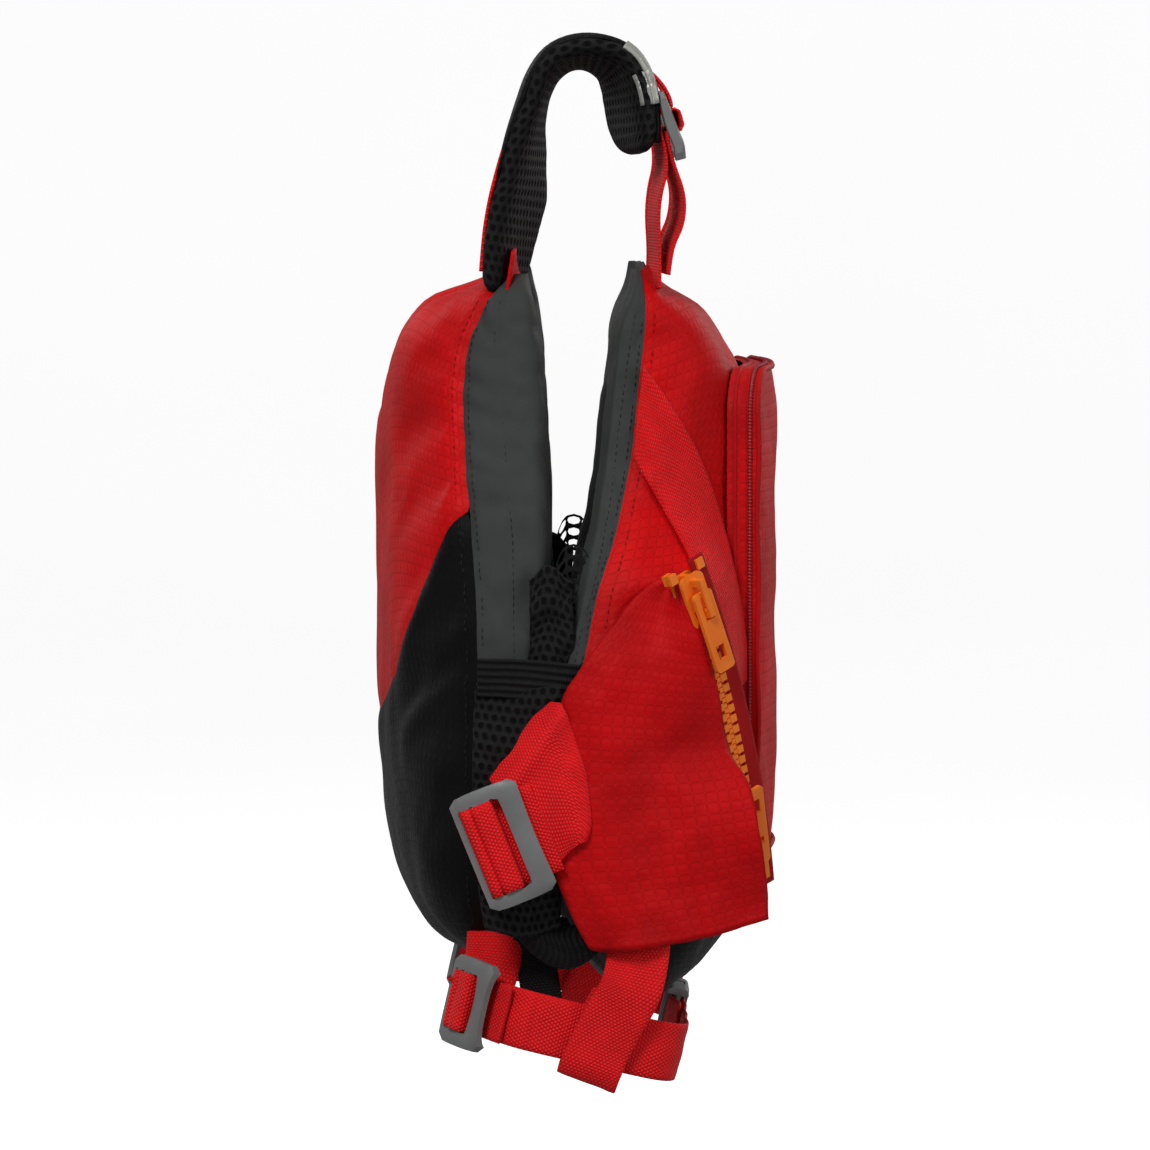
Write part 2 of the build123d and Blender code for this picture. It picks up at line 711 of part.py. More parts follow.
with BuildPart() as buckle_socket:
    buckle_box(-2, 26.1, 5, BUCKLE_HALF)
    fillet(buckle_socket.edges().filter_by(Axis.X), 2.5)
    buckle_box(-3, 18, 2.9, 11.6, Mode.SUBTRACT)
    buckle_box(4, 14.5, 2.9, 30, Mode.SUBTRACT)
    buckle_box(19.8, 30, 8, 13.2, Mode.SUBTRACT)
    with Locations((SOCKET_BAR_X, BUCKLE_Y, 0)):
        Cylinder(1.6, 27)
save(belt_plane.location * buckle_socket.part, "buckle_socket")

with BuildPart() as buckle_plug:
    buckle_box(-21.6, -2.4, 4.6, BUCKLE_HALF)
    fillet(buckle_plug.edges().filter_by(Axis.X), 2.3)
    buckle_box(-30, -14.5, 8, 13.2, Mode.SUBTRACT)
    with Locations((PLUG_BAR_X, BUCKLE_Y, 0)):
        Cylinder(1.6, 27)
    buckle_box(-3, 16.5, 2.3, 2.0)
save(belt_plane.location * buckle_plug.part, "buckle_plug")

with BuildPart() as buckle_prongs:
    for side in (-1, 1):
        buckle_box(-2.3, 13.6, 2.3, 1.4, z_mid=side * 9.0)
        buckle_box(5.0, 13.6, 2.3, 2.9, z_mid=side * 12.9)
save(belt_plane.location * buckle_prongs.part, "buckle_prongs")

# ---- main zip --------------------------------------------------------------------------------
WING_SIDE = -1
FRONT_SIDE = 1


def tooth(side):
    """One moulded tooth, its body clamped on the tape and its head across the middle."""
    half = TOOTH_THICK / 2
    with BuildPart() as one:
        with Locations((side * 2.9, 0, 0)):
            Box(3.4, 2 * half, 3.2)
        with Locations((side * 0.3, 0, 0)):
            Box(2.6, 2 * half - 0.6, 1.9)
    return one.part


def chain(side, shift):
    """All the teeth of one side."""
    one = tooth(side)
    count = int((TEETH_TO - TEETH_FROM - shift) / TOOTH_PITCH)
    return Compound(
        children=[zip_plane(TEETH_FROM + shift + k * TOOTH_PITCH).location * one for k in range(count)]
    )


for name, side, shift in (("wing", WING_SIDE, 0.0), ("front", FRONT_SIDE, TOOTH_PITCH / 2)):
    teeth = chain(side, shift)
    save(teeth, f"zip_teeth_{name}")
    with BuildPart() as zip_tape:
        with BuildSketch(zip_plane(-6)) as section:
            with Locations((side * 8.3, 0)):
                Rectangle(7.0, 0.9)
        zip_axis = Axis(tuple(zip_centre), tuple(zip_across))
        revolve(axis=zip_axis, revolution_arc=math.degrees(150 / zip_radius))
    save(zip_tape.part, f"zip_tape_{name}")

with BuildPart() as zip_stops:
    for side in (WING_SIDE, FRONT_SIDE):
        with Locations((side * 8.3, 0, -1.5)):
            Box(4.0, 5.0, 4.4)
        with Locations((side * 8.3, 0, -1.5)):
            Box(9.0, 1.1, 9.0, mode=Mode.SUBTRACT)
save(zip_plane(0).location * zip_stops.part, "zip_stops")

SLIDER_LONG = 23.0
SLIDER_HALF = 6.6
PLATE_FROM = 2.1
PLATE_TO = 3.6
CROWN_Y = 9.6
EYE_Y = 6.4
EYE_Z = 9.0
PULL_LONG = 36.0


def slider_body():
    """A slider's two plates on its post, with the crown that holds its pull. z runs down the zip."""
    with BuildPart() as body:
        for side in (-1, 1):
            middle = side * (PLATE_FROM + PLATE_TO) / 2
            with Locations((0, middle, SLIDER_LONG / 2)):
                Box(2 * SLIDER_HALF, PLATE_TO - PLATE_FROM, SLIDER_LONG)
        fillet(body.edges().filter_by(Axis.Y), 3.0)
        with Locations((0, 0, 2.4)):
            Box(2.6, 2 * PLATE_FROM + 1, 4.4)
        with Locations((0, (PLATE_TO + CROWN_Y) / 2 - 0.3, 10.5)):
            Box(2.8, CROWN_Y - PLATE_TO + 0.6, 17.0)
        with Locations((0, (PLATE_TO + 8.2) / 2, 10.5)):
            Box(4.0, 8.2 - PLATE_TO, 11.0, mode=Mode.SUBTRACT)
    return body.part


def slider_pull():
    """A slider's pull, lying down the zip from the pin under the crown."""
    with BuildPart() as pull:
        with BuildSketch(Plane.XZ.offset(-EYE_Y - 0.9)) as plate:
            with Locations((0, EYE_Z + PULL_LONG / 2 - 1.2)):
                Rectangle(10.5, PULL_LONG)
            fillet(plate.vertices(), 2.0)
            with Locations((0, EYE_Z + 6.2)):
                Rectangle(5.0, 10.5, mode=Mode.SUBTRACT)
            with Locations((0, EYE_Z + 26.5)):
                Rectangle(4.6, 6.0, mode=Mode.SUBTRACT)
        extrude(amount=1.8)
    return pull.part


for name, start, turn in (("upper", 0.0, 0.0), ("lower", 119.0, 180.0)):
    seat = zip_plane(start + SLIDER_LONG / 2)
    place = seat.location * Location((0, 0, 0), (0, turn, 0)) * Location((0, 0, -SLIDER_LONG / 2))
    save(place * slider_body(), f"zip_slider_{name}")
    save(place * slider_pull(), f"zip_pull_{name}")
    eye = place * Location((0, EYE_Y, EYE_Z))
    print("zip pull", name, tuple(eye.position), tuple(seat.x_dir))

print("shoulder lock hinge", tuple(in_lock(shoulder_lock_plane, [(BAR_U, 0)])[0]))
print("side lock hinge", tuple(in_lock(side_lock_plane, [(BAR_U, 0)])[0]))
print("waist lock hinge", tuple(in_lock(waist_lock_plane, [(BAR_U, 0)])[0]))
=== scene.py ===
import math

import bmesh
import bpy
import numpy as np
from mathutils import Matrix, Vector, noise
from mathutils.bvhtree import BVHTree


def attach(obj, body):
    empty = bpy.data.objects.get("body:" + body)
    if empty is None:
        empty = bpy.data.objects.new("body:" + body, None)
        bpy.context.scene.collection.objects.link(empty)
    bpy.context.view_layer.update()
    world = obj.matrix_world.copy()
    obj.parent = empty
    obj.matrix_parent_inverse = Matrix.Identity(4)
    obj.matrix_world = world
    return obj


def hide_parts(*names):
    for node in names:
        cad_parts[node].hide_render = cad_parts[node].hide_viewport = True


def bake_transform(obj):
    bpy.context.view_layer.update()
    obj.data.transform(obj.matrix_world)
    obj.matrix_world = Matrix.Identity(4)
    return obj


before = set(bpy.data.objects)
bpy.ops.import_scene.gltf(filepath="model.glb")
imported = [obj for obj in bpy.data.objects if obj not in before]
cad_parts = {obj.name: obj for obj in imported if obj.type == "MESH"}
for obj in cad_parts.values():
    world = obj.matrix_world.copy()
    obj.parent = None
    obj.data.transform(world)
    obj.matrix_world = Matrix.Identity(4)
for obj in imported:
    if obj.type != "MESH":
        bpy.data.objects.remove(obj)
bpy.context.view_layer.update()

# a sheet's declared size: the rectangle holds a little more than the flat area, the side mesh a little more each way
SPARE_AREA = 1.02
SHEET_MIN = 0.0105

# ------------------------------------------------------------------ camera and light
CENTRE = Vector((0, 0, -0.219))
RISE = math.radians(3.2)
REACH = 3.8
VIEW_WIDTH = 0.5014
SENSOR = 36

cam = bpy.data.objects.new("camera", bpy.data.cameras.new("camera"))
bpy.context.scene.collection.objects.link(cam)
back = Vector((-math.cos(RISE), 0, math.sin(RISE)))
cam.location = CENTRE + back * REACH
cam.rotation_mode = "QUATERNION"
cam.rotation_quaternion = (-back).to_track_quat("-Z", "Y")
cam.data.sensor_width = SENSOR
cam.data.lens = SENSOR * REACH / VIEW_WIDTH
cam.data.clip_end = 50
bpy.context.scene.camera = cam


def area(name, at, size, watts, aim=(0, 0, -0.22)):
    """A square soft light that faces the vest's middle."""
    data = bpy.data.lights.new(name, "AREA")
    data.shape = "SQUARE"
    data.size = size
    data.energy = watts
    o = bpy.data.objects.new(name, data)
    bpy.context.scene.collection.objects.link(o)
    o.location = at
    o.rotation_mode = "QUATERNION"
    o.rotation_quaternion = (Vector(aim) - Vector(at)).to_track_quat("-Z", "Y")


area("key", (-2.2, 0.9, 1.6), 0.9, 43)
area("front_fill", (-1.8, -2.0, 0.6), 1.2, 16)
area("top", (0.2, 0.2, 2.2), 1.0, 8)
area("rim", (1.6, 1.6, 1.0), 1.0, 9)
area("far_fill", (1.8, -1.4, 0.6), 1.2, 8)

world = bpy.data.worlds.new("studio")
world.use_nodes = True
world.node_tree.nodes["Background"].inputs[0].default_value = (1, 1, 1, 1)
world.node_tree.nodes["Background"].inputs[1].default_value = 0.24
bpy.context.scene.world = world
bpy.context.scene.view_settings.view_transform = "Standard"


# ------------------------------------------------------------------ materials
NOISE_ROUGHNESS = 0.55


class Nodes:
    """A short way to write a node tree."""

    def __init__(self, name):
        self.mat = bpy.data.materials.new(name)
        self.mat.use_nodes = True
        self.tree = self.mat.node_tree
        self.bsdf = self.tree.nodes["Principled BSDF"]

    def node(self, kind, **settings):
        n = self.tree.nodes.new(kind)
        for key, value in settings.items():
            setattr(n, key, value)
        return n

    def put(self, value, socket):
        if isinstance(value, bpy.types.NodeSocket):
            self.tree.links.new(value, socket)
        elif value is not None:
            socket.default_value = value

    def math(self, op, a, b=None):
        n = self.node("ShaderNodeMath", operation=op)
        for i, v in enumerate((a, b)):
            self.put(v, n.inputs[i])
        return n.outputs[0]

    def mix(self, fac, a, b):
        n = self.node("ShaderNodeMix", data_type="RGBA")
        self.put(fac, n.inputs[0])
        self.put(a, n.inputs[6])
        self.put(b, n.inputs[7])
        return n.outputs[2]

    def ramp(self, value, lo, hi, a=0.0, b=1.0):
        n = self.node("ShaderNodeMapRange", clamp=True)
        self.put(value, n.inputs[0])
        for i, v in enumerate((lo, hi, a, b)):
            self.put(v, n.inputs[i + 1])
        return n.outputs[0]

    def uv(self):
        n = self.node("ShaderNodeSeparateXYZ")
        self.tree.links.new(self.node("ShaderNodeUVMap", uv_map="cloth").outputs[0], n.inputs[0])
        return n.outputs[0], n.outputs[1]

    def place(self):
        return self.node("ShaderNodeTexCoord").outputs["Object"]

    def noise(self, scale, detail=3.0):
        n = self.node("ShaderNodeTexNoise")
        n.inputs["Scale"].default_value = scale
        n.inputs["Detail"].default_value = detail
        n.inputs["Roughness"].default_value = NOISE_ROUGHNESS
        self.tree.links.new(self.place(), n.inputs["Vector"])
        return n.outputs["Fac"]

    def wave(self, value, pitch):
        """From -1 to 1 as value goes through each pitch."""
        return self.math("SINE", self.math("MULTIPLY", value, 2 * math.pi / pitch))

    def bump(self, height, strength, distance, under=None):
        n = self.node("ShaderNodeBump")
        n.inputs["Strength"].default_value = strength
        n.inputs["Distance"].default_value = distance
        self.put(height, n.inputs["Height"])
        if under is not None:
            self.tree.links.new(under, n.inputs["Normal"])
        return n.outputs[0]

    def done(self, colour, rough, normal=None, **constants):
        self.put(colour, self.bsdf.inputs["Base Color"])
        self.put(rough, self.bsdf.inputs["Roughness"])
        if normal is not None:
            self.tree.links.new(normal, self.bsdf.inputs["Normal"])
        for key, value in constants.items():
            self.bsdf.inputs[key.replace("_", " ")].default_value = value
        return self.mat


def rgba(c, k=1.0):
    return (c[0] * k, c[1] * k, c[2] * k, 1)


def ripstop(name, colour, pitch=0.0052, sheen=0.02, rough=0.5, grid=0.6):
    """Light woven nylon with a raised grid of thicker threads."""
    n = Nodes(name)
    u, v = n.uv()
    wobble = n.math("MULTIPLY", n.math("SUBTRACT", n.noise(38, 2), 0.5), 0.0016)
    u1, v1 = n.math("ADD", u, wobble), n.math("ADD", v, wobble)
    lines = []
    for c in (u1, v1):
        saw = n.math("PINGPONG", c, pitch / 2)
        lines.append(n.ramp(saw, 0.00018, 0.00062, 1.0, 0.0))
    line = n.math("MAXIMUM", lines[0], lines[1])
    cross = n.math("MULTIPLY", lines[0], lines[1])
    thread = n.math("MULTIPLY", n.wave(u, 0.00046), n.wave(v, 0.00046))
    pillow_u = n.math("PINGPONG", u1, pitch / 2)
    pillow_v = n.math("PINGPONG", v1, pitch / 2)
    pillow = n.math("MULTIPLY", n.ramp(pillow_u, 0, pitch / 2), n.ramp(pillow_v, 0, pitch / 2))
    blotch = n.noise(26, 4)
    fine = n.noise(420, 2)
    shade = n.mix(n.ramp(blotch, 0.3, 0.72), rgba(colour, 0.74), rgba(colour, 1.13))
    shade = n.mix(n.math("MULTIPLY", line, grid), shade, rgba(colour, 0.62))
    shade = n.mix(n.math("MULTIPLY", cross, 0.45), shade, rgba(colour, 1.5))
    normal = n.bump(n.noise(60, 3), 0.35, 0.0012)
    normal = n.bump(pillow, 0.35, 0.00055, normal)
    normal = n.bump(n.math("ADD", line, n.math("MULTIPLY", thread, 0.25)), 0.3, 0.00022, normal)
    roughness = n.ramp(n.math("ADD", fine, n.math("MULTIPLY", line, 0.3)), 0.2, 1.1, rough - 0.08, rough + 0.16)
    return n.done(shade, roughness, normal, Sheen_Weight=sheen, Sheen_Roughness=0.4, Specular_IOR_Level=0.1)


def plain_weave(name, colour, sheen=0.05, rough=0.5):
    """Close, smooth lining cloth."""
    n = Nodes(name)
    u, v = n.uv()
    thread = n.math("MULTIPLY", n.wave(u, 0.0006), n.wave(v, 0.0006))
    blotch = n.noise(20, 4)
    shade = n.mix(n.ramp(blotch, 0.3, 0.7), rgba(colour, 0.82), rgba(colour, 1.12))
    shade = n.mix(n.ramp(thread, -1, 1, 0, 0.3), shade, rgba(colour, 0.7))
    normal = n.bump(n.noise(45, 3), 0.3, 0.0014)
    normal = n.bump(thread, 0.35, 0.00014, normal)
    return n.done(shade, n.ramp(n.noise(300, 2), 0.2, 0.8, rough - 0.06, rough + 0.12), normal,
                  Sheen_Weight=sheen, Sheen_Roughness=0.45, Specular_IOR_Level=0.12)


def webbing_look(name, colour, rib=0.00125):
    """Woven strap: ribs across it, each broken into the stitches of the weave."""
    n = Nodes(name)
    u, v = n.uv()
    row = n.math("FLOOR", n.math("DIVIDE", v, rib))
    shift = n.math("MULTIPLY", n.math("MODULO", row, 2.0), 0.00085)
    across = n.wave(n.math("ADD", u, shift), 0.0017)
    along = n.math("SINE", n.math("MULTIPLY", n.math("FRACT", n.math("DIVIDE", v, rib)), math.pi))
    knot = n.math("MULTIPLY", n.ramp(across, -1, 1), along)
    wear = n.noise(90, 3)
    # painted shade: the dips between the stitches of the weave are painted darker and the stitch tops lighter
    shade = n.mix(n.ramp(knot, 0.0, 0.5), rgba(colour, 0.6), rgba(colour, 1.12))
    shade = n.mix(n.ramp(wear, 0.45, 0.8, 0, 0.35), shade, rgba(colour, 1.35))
    normal = n.bump(knot, 0.75, 0.0006)
    return n.done(shade, n.ramp(knot, 0, 1, 0.72, 0.5), normal, Sheen_Weight=0.04, Sheen_Roughness=0.35,
                  Specular_IOR_Level=0.25)


def elastic_look(name, colour):
    """Flat ribbed elastic."""
    n = Nodes(name)
    u, v = n.uv()
    rib = n.wave(v, 0.0031)
    fine = n.wave(u, 0.0011)
    # painted shade: the troughs between the ribs are painted darker and the crests lighter
    shade = n.mix(n.ramp(rib, -0.9, 0.6), rgba(colour, 0.5), rgba(colour, 1.3))
    normal = n.bump(n.math("ADD", rib, n.math("MULTIPLY", fine, 0.25)), 0.7, 0.0007)
    return n.done(shade, n.ramp(n.noise(200, 2), 0.3, 0.7, 0.6, 0.8), normal, Sheen_Weight=0.02, Specular_IOR_Level=0.2)


def mesh_look(name, colour, hole=0.0037):
    """Knitted spacer mesh: rows of oval holes, staggered."""
    n = Nodes(name)
    u, v = n.uv()
    a = n.math("DIVIDE", u, hole)
    b = n.math("DIVIDE", v, hole * 1.15)
    row = n.math("FLOOR", b)
    a = n.math("ADD", a, n.math("MULTIPLY", n.math("MODULO", row, 2.0), 0.5))
    fu = n.math("SUBTRACT", n.math("FRACT", a), 0.5)
    fv = n.math("SUBTRACT", n.math("FRACT", b), 0.5)
    r = n.math("SQRT", n.math("ADD", n.math("MULTIPLY", fu, fu), n.math("MULTIPLY", fv, fv)))
    ring = n.ramp(r, 0.2, 0.42)
    yarn = n.math("MULTIPLY", n.wave(u, 0.0007), n.wave(v, 0.0007))
    # painted shade: the holes are painted much darker than the yarn round them, as the shade inside them
    shade = n.mix(ring, rgba(colour, 0.1), rgba(colour, 1.6))
    shade = n.mix(n.ramp(n.noise(60, 3), 0.35, 0.75, 0, 0.4), shade, rgba(colour, 0.6))
    normal = n.bump(ring, 0.9, 0.0016)
    normal = n.bump(yarn, 0.4, 0.0003, normal)
    return n.done(shade, n.ramp(ring, 0, 1, 0.95, 0.6), normal, Sheen_Weight=0.02, Sheen_Roughness=0.4,
                  Specular_IOR_Level=0.2)


def tape_look(name, colour):
    """Retro-reflective tape with fine crossed lines."""
    n = Nodes(name)
    u, v = n.uv()
    cell = n.math("MAXIMUM", n.wave(n.math("ADD", u, v), 0.0016), n.wave(n.math("SUBTRACT", u, v), 0.0016))
    shade = n.mix(n.ramp(n.noise(70, 3), 0.3, 0.7), rgba(colour, 0.8), rgba(colour, 1.15))
    normal = n.bump(cell, 0.3, 0.0001)
    return n.done(shade, n.ramp(n.noise(260, 2), 0.3, 0.7, 0.32, 0.5), normal, Metallic=0.35)


def moulded(name, colour, rough=0.42, scale=1.0):
    """Injection-moulded plastic: fine grain, faint flow marks, paler worn corners."""
    n = Nodes(name)
    grain = n.noise(1500 * scale, 3)
    flow = n.noise(55, 4)
    edge = n.node("ShaderNodeNewGeometry").outputs["Pointiness"]
    shade = n.mix(n.ramp(flow, 0.3, 0.75), rgba(colour, 0.85), rgba(colour, 1.12))
    shade = n.mix(n.ramp(edge, 0.52, 0.62, 0, 0.35), shade, rgba([min(1, c * 1.5 + 0.03) for c in colour]))
    normal = n.bump(grain, 0.22, 0.00012)
    normal = n.bump(flow, 0.1, 0.0006, normal)
    return n.done(shade, n.ramp(grain, 0.25, 0.8, rough - 0.08, rough + 0.12), normal, Specular_IOR_Level=0.5)


def plain_floor():
    n = Nodes("pale_floor")
    shade = n.mix(n.ramp(n.noise(1.5, 4), 0.3, 0.7), (0.80, 0.80, 0.80, 1), (0.84, 0.84, 0.84, 1))
    return n.done(shade, 0.9, n.bump(n.noise(60, 4), 0.05, 0.001), Emission_Color=(1, 1, 1, 1), Emission_Strength=0.72)


RED = (0.68, 0.0035, 0.005)
BLACK = (0.0045, 0.0045, 0.005)
GREY = (0.052, 0.057, 0.054)
M = {
    "red": ripstop("red_ripstop", RED),
    "red_dark": ripstop("red_ripstop_side", (0.62, 0.003, 0.005), pitch=0.0049, grid=0.5),
    "black": ripstop("black_ripstop", BLACK, sheen=0.03, rough=0.5, grid=0.3),
    "grey": plain_weave("grey_lining", GREY),
    "webbing": webbing_look("red_webbing", (0.92, 0.006, 0.009)),
    "binding": plain_weave("red_binding", (0.50, 0.003, 0.005)),
    "zip_cloth": plain_weave("red_zip_cloth", (0.42, 0.003, 0.005)),
    "black_webbing": webbing_look("black_webbing", (0.006, 0.006, 0.0065)),
    "mesh": mesh_look("black_spacer_mesh", (0.0055, 0.0055, 0.006)),
    "elastic": elastic_look("black_elastic", (0.006, 0.006, 0.0065)),
    "silver": tape_look("silver_tape", (0.40, 0.40, 0.37)),
    "plastic": moulded("grey_plastic", (0.18, 0.184, 0.182)),
    "dark_plastic": moulded("dark_plastic", (0.085, 0.088, 0.09), 0.36),
    "orange": moulded("orange_plastic", (1.0, 0.19, 0.007), 0.36),
    "thread_red": plain_weave("red_thread", (0.38, 0.006, 0.012)),
    "thread_grey": plain_weave("grey_thread", (0.02, 0.022, 0.022)),
    "coil": moulded("coil_plastic", (0.25, 0.004, 0.008), 0.4),
    "floor": plain_floor(),
}


# ------------------------------------------------------------------ mesh helpers
def mesh_object(name, verts, faces, mat, uvs=None):
    """A mesh object in metres from points in millimetres. uvs is one (u, v) per vertex, in metres."""
    me = bpy.data.meshes.new(name)
    me.from_pydata([tuple(float(c) / 1000 for c in p) for p in verts], [], faces)
    me.validate()
    if uvs is not None:
        layer = me.uv_layers.new(name="cloth")
        loops = np.zeros(len(me.loops), np.int32)
        me.loops.foreach_get("vertex_index", loops)
        layer.data.foreach_set("uv", np.asarray(uvs, np.float32)[loops].ravel())
    me.shade_smooth()
    me.materials.append(M[mat] if isinstance(mat, str) else mat)
    o = bpy.data.objects.new(name, me)
    bpy.context.scene.collection.objects.link(o)
    return o


def smooth_step(t):
    return t * t * (3 - 2 * t)


def grid_faces(rows, cols, wrap=False, start=0, flip=False):
    """The quads of a grid of vertices that begin at start."""
    out = []
    last = cols if wrap else cols - 1
    for i in range(rows - 1):
        for j in range(last):
            a = start + i * cols + j
            b = start + i * cols + (j + 1) % cols
            f = (a, b, b + cols, a + cols)
            out.append(f[::-1] if flip else f)
    return out


def arc_lengths(points):
    """How far along its line each point is."""
    p = np.asarray(points, float)
    return np.concatenate([[0], np.cumsum(np.linalg.norm(np.diff(p, axis=0), axis=1))])


def smooth_line(points, count):
    """A Catmull-Rom line through the points, as count points evenly spaced along it."""
    p = np.asarray(points, float)
    ext = np.vstack([2 * p[0] - p[1], p, 2 * p[-1] - p[-2]])
    fine = []
    for i in range(1, len(ext) - 2):
        p0, p1, p2, p3 = ext[i - 1 : i + 3]
        knots = [0.0]
        for a, b in ((p0, p1), (p1, p2), (p2, p3)):
            knots.append(knots[-1] + max(1e-6, np.linalg.norm(b - a) ** 0.5))
        t0, t1, t2, t3 = knots
        for t in np.linspace(t1, t2, 14, endpoint=False):
            a1 = (t1 - t) / (t1 - t0) * p0 + (t - t0) / (t1 - t0) * p1
            a2 = (t2 - t) / (t2 - t1) * p1 + (t - t1) / (t2 - t1) * p2
            a3 = (t3 - t) / (t3 - t2) * p2 + (t - t2) / (t3 - t2) * p3
            b1 = (t2 - t) / (t2 - t0) * a1 + (t - t0) / (t2 - t0) * a2
            b2 = (t3 - t) / (t3 - t1) * a2 + (t - t1) / (t3 - t1) * a3
            fine.append((t2 - t) / (t2 - t1) * b1 + (t - t1) / (t2 - t1) * b2)
    fine.append(ext[-2])
    fine = np.array(fine)
    s = arc_lengths(fine)
    want = np.linspace(0, s[-1], count)
    return np.stack([np.interp(want, s, fine[:, k]) for k in range(fine.shape[1])], axis=1)


def table(x, pairs):
    """Linear look-up in (key, value) pairs whose keys fall."""
    keys = np.array([k for k, _ in pairs], float)
    vals = np.array([v for _, v in pairs], float)
    order = np.argsort(keys)
    return np.interp(x, keys[order], vals[order])


def soft_table(x, pairs):
    """The same look-up with rounded corners."""
    return sum(table(np.asarray(x) + d, pairs) for d in (-5, -2.5, 0, 2.5, 5)) / 5


def unit(v):
    v = np.asarray(v, float)
    return v / (np.linalg.norm(v, axis=-1, keepdims=True) + 1e-12)


def normals_of(p):
    """Unit normals of a grid of points, rows by columns."""
    du = np.gradient(p, axis=1)
    dv = np.gradient(p, axis=0)
    return unit(np.cross(du, dv))


def rumple(p, scale, seed, octaves=3):
    """Smooth noise at each point, about -1 to 1."""
    out = np.zeros(p.shape[:-1])
    for idx in np.ndindex(out.shape):
        q = Vector(p[idx]) * scale + Vector((seed * 7.3, seed * 3.1, seed * 5.7))
        out[idx] = noise.fractal(q, 0.9, 2.0, octaves)
    return out


def grid_uv(p):
    """UVs in metres that follow the real lengths of a grid's middle row and columns."""
    rows, cols, _ = p.shape
    su = arc_lengths(p[rows // 2]) / 1000
    u = np.tile(su - su[cols // 2], (rows, 1))
    sv = np.stack([arc_lengths(p[:, j]) for j in (0, cols // 2, cols - 1)]) / 1000
    v = np.tile(sv[1][:, None], (1, cols))
    return np.stack([u, v], axis=-1)


def grid_area(g):
    """The area of a grid of points in mm, in square metres."""
    cells = np.linalg.norm(np.cross(np.gradient(g, axis=0), np.gradient(g, axis=1)), axis=2)
    return cells[:-1, :-1].sum() / 1e6


def grid_size(g, row, col):
    """The length of one row and of one column of a grid of points in mm, in metres."""
    return float(arc_lengths(g[row])[-1]) / 1000, float(arc_lengths(g[:, col])[-1]) / 1000


def slab(name, p, mat, thick=1.2, uv=None, out=1):
    """A sheet of cloth with thickness from a grid of points; the grid is its outer face."""
    rows, cols, _ = p.shape
    n = normals_of(p) * out
    uv = grid_uv(p) if uv is None else uv
    back_p = p - n * thick
    verts = np.vstack([p.reshape(-1, 3), back_p.reshape(-1, 3)])
    uvs = np.vstack([uv.reshape(-1, 2), uv.reshape(-1, 2)])
    k = rows * cols
    flip = out < 0
    faces = grid_faces(rows, cols, flip=flip) + grid_faces(rows, cols, start=k, flip=not flip)
    rim = [i for i in range(cols)] + [r * cols + cols - 1 for r in range(1, rows)]
    rim += [(rows - 1) * cols + i for i in range(cols - 2, -1, -1)]
    rim += [r * cols for r in range(rows - 2, 0, -1)]
    for a, b in zip(rim, rim[1:] + rim[:1]):
        f = (a, a + k, b + k, b)
        faces.append(f[::-1] if flip else f)
    return mesh_object(name, verts, faces, mat, uvs)


def closed_loops(name, loops, mat, uvs=None):
    """A tube of closed loops of equal length, with its ends capped."""
    loops = np.asarray(loops, float)
    rows, cols, _ = loops.shape
    verts = loops.reshape(-1, 3)
    faces = grid_faces(rows, cols, wrap=True)
    faces.append(tuple(range(cols))[::-1])
    faces.append(tuple((rows - 1) * cols + i for i in range(cols)))
    if uvs is not None:
        uvs = np.asarray(uvs).reshape(-1, 2)
    return mesh_object(name, verts, faces, mat, uvs)


def fix_normals(o):
    bm = bmesh.new()
    bm.from_mesh(o.data)
    bmesh.ops.recalc_face_normals(bm, faces=bm.faces)
    bm.to_mesh(o.data)
    bm.free()
    return o


def frames(path, hint):
    """Tangent, side and normal at each point of a path; side stays close to hint."""
    p = np.asarray(path, float)
    t = unit(np.gradient(p, axis=0))
    h = np.asarray(hint, float)
    h = np.tile(h, (len(p), 1)) if h.ndim == 1 else h
    side = unit(h - (h * t).sum(1, keepdims=True) * t)
    return t, side, np.cross(t, side)


def stitches(name, path, normal, mat="thread_red", length=2.3, gap=1.1, r=0.32, lift=0.25):
    """A row of short raised stitches along a path that lies on cloth."""
    p = np.asarray(path, float)
    s = arc_lengths(p)
    total = int(s[-1] / (length + gap))
    n = np.asarray(normal, float)
    n = np.tile(n, (len(p), 1)) if n.ndim == 1 else n
    verts, faces = [], []
    for k in range(max(1, total)):
        at = np.linspace(k * (length + gap), k * (length + gap) + length, 4)
        q = np.stack([np.interp(at, s, p[:, c]) for c in range(3)], axis=1)
        m = unit(np.stack([np.interp(at, s, n[:, c]) for c in range(3)], axis=1))
        t = unit(np.gradient(q, axis=0))
        b = np.cross(t, m)
        for i in range(4):
            k_r = r * (0.55 if i in (0, 3) else 1.0)
            high = lift * (0.2 if i in (0, 3) else 1.0)
            for a in np.linspace(0, 2 * math.pi, 5, endpoint=False):
                verts.append(q[i] + b[i] * k_r * math.cos(a) + m[i] * (k_r * math.sin(a) + high))
        base = len(verts) - 20
        for i in range(3):
            for j in range(5):
                a0, a1 = base + i * 5 + j, base + i * 5 + (j + 1) % 5
                faces.append((a0, a1, a1 + 5, a0 + 5))
        faces.append(tuple(base + j for j in range(5))[::-1])
        faces.append(tuple(base + 15 + j for j in range(5)))
    return mesh_object(name, verts, faces, mat, np.array([(v[1] / 1000, v[2] / 1000) for v in verts]))


def join(name, *objects):
    """One object out of several, keeping each one's material."""
    bpy.ops.object.select_all(action="DESELECT")
    for o in objects:
        o.select_set(True)
    bpy.context.view_layer.objects.active = objects[0]
    bpy.ops.object.join()
    objects[0].name = name
    return objects[0]


def subdivide(o, levels=1):
    m = o.modifiers.new("smooth", "SUBSURF")
    m.levels = levels
    m.render_levels = levels
    return o


